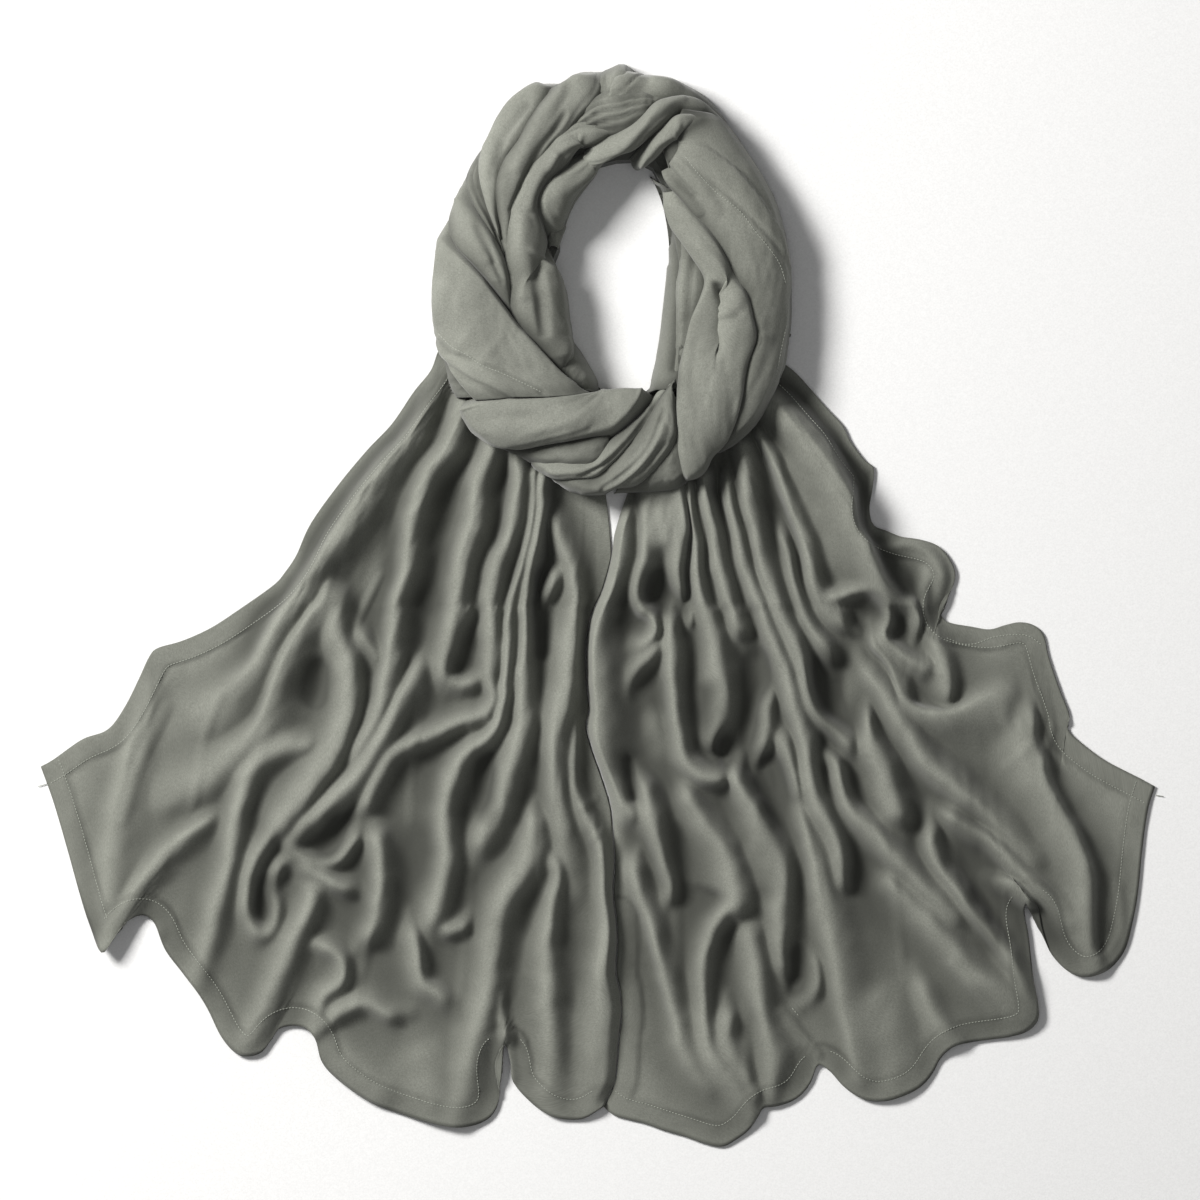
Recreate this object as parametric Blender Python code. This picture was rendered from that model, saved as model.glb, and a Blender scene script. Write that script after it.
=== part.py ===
"""A long headscarf lying flat: wound into a ring at the top, with its two ends fanned out below.

All tables are in millimetres, seen from above: X to the right, Y towards the ring, Z up.
The surface it lies on is Z = 0, and every piece that reaches it is flat underneath.
"""

import math

import bmesh
import bpy
import numpy as np

MM = 0.001

WALL = 1.6            # cloth wall of every piece
SEAM_GAP = 0.4        # clear space where two pieces meet in plan
LAYER_STEP = 2.1      # how much higher each ring layer lies than the one below
LAYER_RUN = 9.0       # how far in from the ring's edges the layers part to that height
RING_HEIGHT = 38.0    # top of the wound ring
RING_ROUNDING = 34.0  # width of its rounded shoulder, seen from above
CORE_INSET = 3.2      # how far the hidden layers stay inside the outer face
CORE_MARGIN = 4.5     # the same, measured at the floor
CORE_FLOOR = 0.0      # underside of the hidden layers
FOLD_GAIN = 1.2       # how much fuller the folds stand than their stated heights
FOLD_SHARPNESS = 6    # how crisply two folds meet
FOLD_SPREAD = 1.15    # half width of a fold's steep part, in stated half widths
FOLD_FULLNESS = 2.3   # how full and round a fold's crest is
SKIRT_SPREAD = 2.6    # how far its soft foot runs, in stated half widths
SKIRT_SHARE = 0.33    # how much of its height is in that foot
SKIRT_ROUND = 0.5     # roundness of the foot under the crest
FOLD_FADE = 16.0      # length over which a fold that ends inside the cloth dies away
FADE_LEAST = 0.4      # share of its height that is left at such an end
FADE_MARGIN = 16.0    # how near a border an end counts as reaching it
SIDE_FLAT = 16.0      # how far in from its outer side a loose end lies nearly flat
SIDE_LEAST = 0.2      # share of a fold's height that is left at that side
FINER = 4             # how much finer the folds are read than the cells
TAIL_COLUMNS = 62     # cells from side to side of one loose end
TAIL_ROWS = 24        # cells from the ring to the hem
STRETCH_CELLS = 4     # cells across a stretch of the ring
CORE_STATIONS = 40    # sections round the hidden layers
CORE_CELLS = 9        # cells across one of those sections

# Outer edge of the ring, clockwise from its top corner: x, y
RING_OUTLINE = (
    (18, 379), (25, 375), (34, 371), (50, 369), (62, 364), (72, 359), (80, 352), (88, 343), (95, 332),
    (102, 321), (112, 306), (120, 292), (126, 278), (131, 260), (134, 240), (135, 220), (135, 200),
    (133, 185), (131, 170), (128, 162), (124, 152), (118, 140), (112, 130), (105, 122), (95, 113),
    (87, 108), (80, 104), (77, 97), (70, 91), (62, 87), (56, 83), (42, 81), (26, 80), (8, 79), (-10, 79.5),
    (-20, 82), (-28, 87), (-35, 91), (-42, 95), (-48, 102), (-60, 108), (-72, 113), (-80, 120),
    (-88, 128), (-94, 137), (-98, 146), (-103, 157), (-106, 170), (-110, 180), (-112, 200), (-113, 215),
    (-112, 230), (-110, 245), (-108, 258), (-104, 270), (-98, 282), (-95, 290), (-90, 302), (-85, 312),
    (-77, 324), (-72, 330), (-65, 342), (-58, 352), (-48, 360), (-38, 364), (-22, 366), (-12, 371),
    (0, 372), (10, 376),
)

# Edge of the hole inside the ring, clockwise from its lower left: x, y
HOLE_OUTLINE = (
    (3, 148.5), (0, 158), (-5, 167), (-11, 177), (-17, 186), (-18, 194), (-20, 203), (-21, 215),
    (-22, 225), (-27, 236), (-22, 243), (-21, 250), (-23, 262), (-22, 272), (-16, 284), (-6, 297),
    (5, 304), (18, 306), (30, 306), (38, 300), (45, 285), (49, 268), (51, 250), (51, 235), (50, 222),
    (48, 205), (46, 190), (43, 175), (40, 163), (36, 149.5), (20, 149),
)

# Hollows pressed into the ring: x, y, half length, half width, lean in degrees, depth
RING_HOLLOWS = (
    (87, 203, 21, 6, 8, 10),
    (-36, 258, 30, 7, 25, 10),
    (-10, 320, 10, 7, -30, 8),
    (58, 324, 10, 7, -40, 5),
    (48, 300, 16, 5, 30, 8),
)

# One row for each section of a stretch of the ring: outer edge x, y and inner edge x, y
STRETCHES = {
    "outer_panel": (1, 1.5, (
        (64, 342, 50, 316), (76, 340, 54, 305), (88, 335, 59, 293), (101, 322, 70, 276),
        (113, 305, 77, 268), (124, 284, 87, 251), (131, 260, 97, 234), (135, 230, 106, 216),
        (135, 200, 109, 199), (133, 184, 112, 185), (131, 170, 105, 169), (124, 152, 102, 151),
        (112, 130, 96, 132), (98, 115, 89, 117), (86, 107.5, 83, 108))),
    "front_stretch": (2, 2.5, (
        (50, 290, 58, 291), (54, 272, 70, 275), (62, 257, 79, 262), (70, 243, 88, 246),
        (77, 229, 96, 231), (75, 216, 104, 217), (69, 199, 107, 202), (65, 183, 109, 187),
        (61, 166, 103, 167), (59, 149, 100, 149), (57, 132, 95, 131), (57, 118, 88, 117),
        (58, 105, 79, 105), (60, 94, 73, 94), (61, 88, 65, 89))),
    "inner_right_edge": (0, 1.5, (
        (41, 298, 47, 294), (46, 282, 51, 281), (50, 264, 57, 264), (52, 245, 61, 243),
        (51, 226, 60, 223), (48, 205, 59.5, 204), (46, 187, 58, 186), (42, 169, 56.5, 169),
        (38, 154, 54.5, 156))),
    "inner_right_fold": (1, 1.5, (
        (60, 254, 64, 254), (62, 242, 70, 241), (61, 224, 74, 223), (60, 204, 69, 203),
        (59, 187, 65.5, 187), (57.5, 170, 61.5, 169), (55.5, 158, 58.5, 158))),
    "hook_strand": (3, 1.5, (
        (24, 310, 31, 306), (32, 319, 40, 312), (42, 330, 48, 320), (52, 340, 56, 328),
        (62, 342, 63, 332), (72, 340.5, 71, 336))),
    "over_strand": (2, 2.5, (
        (-30, 242, -26, 239), (-34, 256, -22, 255), (-39, 270, -22.5, 269), (-41, 284, -16, 284),
        (-36, 296, -6, 298), (-26, 304, 0, 309), (-14, 312, 6, 317), (0, 322, 15, 320),
        (16, 330, 28, 323), (30, 338, 40, 332), (42, 349, 49, 339), (57, 353, 59, 344.5),
        (73, 350, 73, 343), (83, 344, 81, 341), (90, 337.5, 88, 336))),
    "top_outer": (1, 1.5, (
        (24, 370, 17, 356), (36, 370.5, 31, 357.5), (50, 369, 46, 356), (63, 363.5, 61, 354.5),
        (76, 356, 73, 351.5), (88, 343, 86, 343), (100, 325, 99, 325.5))),
    "top_corner": (0, 1.0, (
        (5, 373, 5, 361), (10, 375.5, 9, 360), (18, 378.5, 14, 358), (26, 374, 20.5, 367))),
    "top_strands": (0, 2.0, (
        (-21.5, 333, -20, 331.5), (-10.5, 342, -10, 335), (1.5, 351, 0, 334), (15, 355, 17, 334),
        (30, 356.5, 32, 342), (45, 355, 43, 351), (60, 353.8, 57, 353.4))),
    "upper_left_outer": (2, 2.0, (
        (-22, 366, -24, 364), (-38, 364, -31, 358), (-56, 354, -38, 348), (-66, 341, -46, 336),
        (-73, 326, -54, 322), (-77, 309, -63, 310), (-78, 295, -68, 293), (-75, 278, -69, 272),
        (-70, 262, -67, 256))),
    "upper_left_middle": (1, 2.5, (
        (-16, 369, 1.5, 371), (-20, 366, 1, 367), (-27, 361, -1, 357), (-37, 349, -15, 341), (-45, 337, -26, 329),
        (-53, 323, -37, 316), (-62, 310, -48, 302), (-67, 298, -54, 291), (-68, 284, -58, 279),
        (-67, 268, -60, 264), (-64, 247, -61, 246))),
    "inner_left": (1, 2.5, (
        (12, 333, 13, 331), (-1, 334, -1, 325), (-13, 334, -14, 322), (-24, 328, -22, 311),
        (-37, 315, -31, 302), (-47, 303, -38, 294), (-53, 290.5, -43, 283), (-58, 277, -43, 270),
        (-60, 257, -39, 254), (-60, 235, -31, 236), (-58, 214, -22, 214), (-52, 194, -20, 194),
        (-42, 180, -19, 182), (-33, 170, -22, 170), (-27, 163, -25, 162.5))),
    "left_strands": (1, 1.0, (
        (-74, 327, -73, 326), (-83, 314, -78, 309), (-88, 301, -79, 295), (-86, 289, -77, 281),
        (-81, 275, -73, 268), (-74, 261, -68, 255), (-67, 248, -65, 246))),
    "left_panel": (2, 2.0, (
        (-91, 301, -89, 299), (-95, 290, -87, 287), (-98, 277, -82, 274), (-98, 264, -75, 262),
        (-94, 251, -69, 250), (-85, 239, -64, 238), (-75, 226, -62, 226), (-66, 214, -60, 213),
        (-60.5, 207, -59, 206))),
    "left_band": (3, 2.0, (
        (-103, 270, -99, 266), (-108, 257, -96, 254), (-111, 240, -86, 240), (-113, 221, -73, 222),
        (-112, 204, -60, 204), (-110, 187, -47, 188), (-103, 173, -35, 172), (-95, 160, -24, 160),
        (-87, 150, -13, 150.5))),
    "left_roll": (-0.92, 0.8, (
        (-105, 171, -104, 170), (-103, 160, -98, 161), (-99, 151, -92, 152), (-95, 146, -89, 146))),
    "lining_corner": (0, 0.5, (
        (-23, 165, -18, 183), (-18, 157, -9, 171), (-10, 151.5, 1, 151.5))),
    "bottom_band": (2, 3.0, (
        (-93, 139, -92, 143), (-83, 123, -81, 146), (-70, 114, -67, 147), (-50, 112, -50, 147),
        (-30, 113, -30, 148), (-8, 116, -8, 149), (12, 119, 12, 149), (26, 129, 25, 149.5),
        (36, 139, 33.5, 149))),
    "bottom_strand": (1, 1.5, (
        (-66, 111.5, -64, 113), (-50, 104, -50, 111.5), (-30, 102.5, -30, 112.5),
        (-10, 101.5, -9, 115), (3, 105, 3, 116.5), (8, 111.5, 9, 117))),
    "bottom_roll": (2, 2.0, (
        (-41, 96, -45, 101.5), (-29, 91, -29, 101), (-14, 91.5, -14, 101), (-1, 92.5, -3, 101.5),
        (8, 99, 4, 108.5), (19, 109, 15, 118.5), (32, 122.5, 26, 127), (43, 137, 37, 137.5),
        (51, 150, 45, 148), (57, 157, 53, 153))),
    "bottom_wide": (1, 3.0, (
        (-28, 87, -31, 90), (-14, 80, -13, 91), (2, 79.5, 1, 91.5), (13, 86, 11, 99),
        (26, 88, 23, 111.5), (38, 97, 34, 123.5), (48, 108, 44, 137), (55, 120, 51, 147.5),
        (57, 138, 55.5, 154))),
    "bottom_end": (0, 1.0, (
        (13, 80, 15, 84), (28, 80.5, 28, 86.5), (42, 81, 41, 98), (50, 82, 50, 108), (57, 84, 56.5, 116))),
}

# Sides of the two loose ends, from the ring out to the corner: x, y
LEFT_OUTER_SIDE = (
    (-110, 180), (-116, 165), (-128, 150), (-143, 128), (-160, 110), (-180, 86), (-200, 58), (-210, 36),
    (-218, 24), (-226, 15), (-250, -2), (-270, -15), (-290, -24), (-307, -29), (-313, -35), (-320, -50),
    (-330, -70), (-342, -86), (-360, -93), (-380, -107), (-389, -112),
)
MEETING_LINE = (
    (10.5, 35), (7, 20), (3, 8), (-1, 0), (-5, -12), (-7, -25), (-7, -45), (-6, -60), (-5, -72), (-7, -84),
    (-3, -100), (4, -120), (10, -140), (12, -160), (13, -180), (12, -200), (14, -218), (15, -235),
    (14, -255), (17, -270), (18, -285), (16, -302), (15, -318), (13, -334), (5, -350),
)
LEFT_INNER_SIDE = ((7, 79), (8.5, 66), (10, 50)) + MEETING_LINE
RIGHT_INNER_SIDE = ((22, 80), (17, 66), (12.5, 50)) + MEETING_LINE
RIGHT_OUTER_SIDE = (
    (131, 170), (140, 163), (150, 152), (160, 140), (172, 127), (178, 115), (188, 102), (194, 97),
    (193, 82), (191, 68), (194, 57), (203, 53), (213, 49), (226, 47), (238, 43), (246, 35), (251, 24),
    (249, 13), (243, 6), (240, -1), (243, -9), (250, -12), (262, -14), (275, -16), (286, -13),
    (296, -11), (306, -13), (313, -20), (316, -33), (320, -46), (325, -60), (331, -76), (330, -86),
    (340, -96), (355, -107), (368, -114), (380, -120), (391, -126),
)

# Hems of the two ends, from the left to the right: x, y
LEFT_HEM = (
    (-389, -112), (-380, -137), (-370, -171), (-362, -200), (-355, -222), (-346, -242), (-337, -231),
    (-329, -221), (-318, -216), (-309, -222), (-302, -240), (-290, -256), (-280, -269), (-272, -282),
    (-262, -302), (-250, -314), (-236, -313), (-228, -304), (-221, -295), (-206, -294), (-197, -302),
    (-192, -319), (-180, -332), (-160, -346), (-140, -354), (-110, -363), (-90, -364), (-74, -357),
    (-68, -342), (-71, -320), (-64, -307), (-60, -318), (-58, -333), (-46, -347), (-33, -356),
    (-20, -359), (-8, -358), (5, -350),
)
RIGHT_HEM = (
    (5, -350), (12, -356), (22, -359), (34, -362), (48, -367), (62, -371), (76, -376), (88, -378),
    (98, -373), (107, -366), (113, -357), (117, -351), (125, -350), (135, -347), (143, -342),
    (150, -333), (155, -321), (163, -325), (172, -335), (181, -342), (191, -346), (203, -346),
    (216, -342), (227, -336), (235, -327), (241, -316), (250, -308), (262, -305), (276, -303),
    (290, -301), (302, -297), (309, -289), (309, -277), (306, -262), (304, -245), (302, -228),
    (299, -212), (303, -206), (309, -212), (312, -226), (317, -241), (327, -253), (338, -259),
    (350, -258), (361, -252), (370, -240), (375, -222), (379, -200), (382, -170), (386, -142),
    (391, -126),
)

# Folds of the left end, each with one row per section along its crest:
# x, y, height, half width to the left of the picture or below, half width to the right or above
LEFT_FOLDS = (
    ((-112, 168, 16, 7, 9), (-127, 125, 20, 9, 12), (-152, 95, 20, 9, 14), (-172, 60, 20, 10, 13),
     (-197, 25, 19, 8, 12), (-218, -8, 18, 7, 12), (-236, -40, 15, 7, 14), (-262, -68, 9, 10, 16),
     (-290, -88, 4, 12, 14)),
    ((-313, -60, 5, 6, 8), (-320, -82, 7, 6, 10), (-331, -122, 8, 6, 12), (-339, -165, 8, 7, 12),
     (-339, -205, 8, 8, 10), (-337, -228, 7, 8, 8)),
    ((-181, 26, 12, 4, 6), (-190, 5, 17, 6, 10), (-207, -22, 18, 6, 12), (-222, -52, 17, 6, 12),
     (-232, -82, 15, 6, 14), (-248, -100, 12, 9, 12), (-275, -124, 9, 12, 10), (-318, -140, 3, 14, 8)),
    ((-178, 22, 12, 5, 6), (-182, -12, 16, 9, 8), (-172, -40, 17, 10, 7), (-172, -70, 17, 10, 7),
     (-183, -100, 17, 12, 8), (-200, -124, 17, 12, 8), (-218, -150, 16, 12, 8), (-230, -168, 13, 10, 8)),
    ((-186, -94, 14, 8, 8), (-205, -97, 14, 8, 8), (-222, -99, 14, 8, 8), (-238, -109, 14, 7, 8),
     (-248, -135, 15, 7, 7), (-255, -172, 14, 7, 7), (-264, -205, 12, 7, 7), (-271, -235, 9, 7, 7),
     (-279, -262, 5, 7, 7)),
    ((-258, -143, 9, 5, 6), (-275, -153, 11, 5, 7), (-300, -172, 11, 5, 8), (-320, -197, 10, 5, 8),
     (-335, -222, 9, 5, 8), (-346, -240, 8, 5, 6)),
    ((-203, -112, 13, 7, 7), (-216, -142, 14, 7, 6), (-232, -166, 14, 7, 6), (-243, -190, 13, 6, 5),
     (-244, -212, 12, 5, 5), (-237, -228, 10, 5, 5), (-227, -229, 9, 5, 5), (-223, -215, 9, 4, 4),
     (-226, -195, 9, 4, 5), (-219, -179, 11, 5, 5), (-205, -183, 11, 5, 5)),
    ((-172, -10, 12, 5, 5), (-163, -22, 12, 5, 5), (-153, -36, 11, 5, 5), (-153, -50, 8, 6, 6)),
    ((-92, 140, 18, 7, 9), (-100, 115, 20, 8, 10), (-117, 92, 20, 8, 9), (-128, 60, 20, 8, 9),
     (-131, 25, 19, 7, 8), (-140, 0, 18, 6, 8), (-144, -40, 17, 6, 8), (-152, -75, 16, 7, 8),
     (-166, -102, 14, 7, 8), (-177, -118, 11, 7, 7)),
    ((-118, -28, 13, 5, 8), (-133, -60, 16, 6, 9), (-150, -95, 17, 7, 9), (-170, -122, 17, 8, 9),
     (-190, -140, 16, 8, 9), (-206, -153, 14, 7, 8), (-214, -168, 11, 6, 6), (-200, -178, 11, 5, 5),
     (-182, -178, 11, 5, 5), (-171, -167, 12, 5, 5), (-165, -150, 13, 6, 6)),
    ((-70, 120, 18, 7, 8), (-80, 92, 20, 8, 9), (-83, 70, 21, 8, 10), (-90, 45, 21, 8, 10),
     (-95, 20, 20, 8, 9), (-97, 0, 19, 8, 9), (-104, -25, 17, 8, 8), (-108, -46, 15, 7, 6),
     (-97, -55, 13, 6, 5), (-84, -52, 13, 6, 5), (-76, -42, 14, 5, 5)),
    ((-56, 108, 18, 6, 7), (-54, 88, 19, 6, 7), (-60, 55, 20, 6, 8), (-70, 28, 19, 7, 8),
     (-74, 0, 18, 7, 8), (-72, -30, 17, 7, 7), (-75, -50, 15, 6, 6), (-72, -65, 15, 5, 6),
     (-80, -76, 15, 6, 6), (-98, -82, 15, 6, 6), (-120, -92, 15, 6, 7), (-140, -103, 15, 6, 7),
     (-152, -120, 15, 6, 7), (-162, -140, 13, 6, 7), (-166, -152, 11, 6, 7)),
    ((-44, 95, 15, 4, 4), (-47, 55, 17, 4, 4), (-58, 10, 17, 4, 5), (-62, -25, 17, 4, 5),
     (-65, -65, 17, 4, 5), (-74, -90, 16, 5, 6), (-90, -102, 16, 6, 7), (-100, -120, 17, 7, 8),
     (-106, -145, 17, 7, 8), (-104, -175, 16, 7, 8), (-111, -205, 15, 7, 8), (-118, -232, 14, 7, 8)),
    ((-38, 92, 16, 5, 5), (-40, 60, 18, 5, 5), (-48, 20, 18, 5, 5), (-50, -15, 18, 5, 5),
     (-52, -50, 17, 6, 7), (-51, -78, 17, 7, 9), (-57, -100, 17, 8, 9), (-66, -135, 16, 8, 9),
     (-76, -158, 15, 8, 9), (-88, -178, 14, 8, 9)),
    ((-37, 75, 10, 5, 6), (-27, 52, 12, 6, 8), (-16, 25, 14, 6, 7), (-14, 0, 15, 7, 5),
     (-19, -28, 17, 9, 7), (-20, -52, 18, 9, 8), (-26, -78, 18, 10, 8), (-29, -95, 17, 8, 9),
     (-27, -130, 16, 8, 8), (-24, -160, 13, 8, 8), (-18, -190, 8, 8, 9), (-16, -215, 4, 8, 9)),
    ((-20, 32, 12, 5, 6), (-32, 14, 12, 6, 6), (-42, -5, 12, 5, 5)),
    ((-43, -134, 13, 4, 5), (-45, -155, 16, 6, 8), (-47, -177, 17, 10, 10), (-62, -200, 17, 9, 9),
     (-70, -225, 15, 9, 9), (-74, -250, 14, 9, 9), (-79, -285, 13, 9, 9), (-86, -312, 11, 9, 9),
     (-94, -340, 8, 9, 9), (-98, -362, 5, 9, 9)),
    ((-36, -168, 16, 8, 6), (-27, -185, 14, 6, 5), (-30, -205, 14, 6, 6), (-34, -235, 14, 8, 7),
     (-33, -270, 14, 8, 8), (-31, -300, 12, 8, 9), (-30, -328, 7, 8, 9), (-30, -350, 3, 8, 9)),
    ((-204, -190, 12, 6, 7), (-199, -205, 13, 6, 7), (-208, -228, 13, 7, 7), (-219, -252, 12, 7, 8),
     (-230, -276, 10, 7, 8), (-242, -302, 6, 7, 8)),
    ((-203, -233, 12, 5, 5), (-188, -238, 12, 5, 5), (-178, -247, 12, 5, 5), (-177, -262, 12, 5, 5),
     (-190, -273, 10, 5, 5), (-196, -290, 8, 5, 6)),
    ((-158, -150, 15, 7, 8), (-152, -172, 16, 7, 8), (-150, -200, 16, 7, 8), (-154, -222, 14, 7, 8),
     (-168, -240, 11, 6, 7)),
    ((-214, -176, 11, 5, 5), (-196, -188, 12, 5, 5), (-180, -197, 13, 5, 5), (-162, -200, 14, 5, 6)),
    ((-130, -215, 12, 7, 5), (-126, -240, 14, 7, 5), (-122, -262, 14, 6, 5), (-108, -272, 13, 6, 5),
     (-96, -283, 12, 6, 5)),
    ((-116, -224, 12, 5, 6), (-98, -225, 12, 5, 6), (-84, -215, 12, 6, 6)),
    ((-197, -298, 8, 5, 6), (-180, -285, 10, 5, 6), (-160, -278, 11, 5, 6), (-145, -284, 11, 5, 6),
     (-130, -283, 11, 5, 6)),
    ((-66, -258, 8, 4, 4), (-67, -280, 9, 4, 4), (-63, -300, 8, 4, 4)),
    ((-188, -306, 5, 8, 10), (-172, -322, 6, 9, 10), (-152, -338, 5, 9, 10)),
    ((-122, -300, 5, 12, 14), (-112, -335, 6, 14, 16), (-106, -358, 4, 14, 14)),
    ((-15, -72, 8, 4, 4), (-16, -100, 12, 4, 4), (-15, -125, 13, 4, 5), (-8, -148, 14, 6, 5),
     (4, -170, 14, 5, 6), (7, -195, 14, 6, 6), (10, -228, 13, 7, 5), (5, -258, 12, 8, 8),
     (3, -290, 10, 12, 12), (2, -320, 8, 12, 12), (-1, -348, 4, 9, 9)),
)

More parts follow.
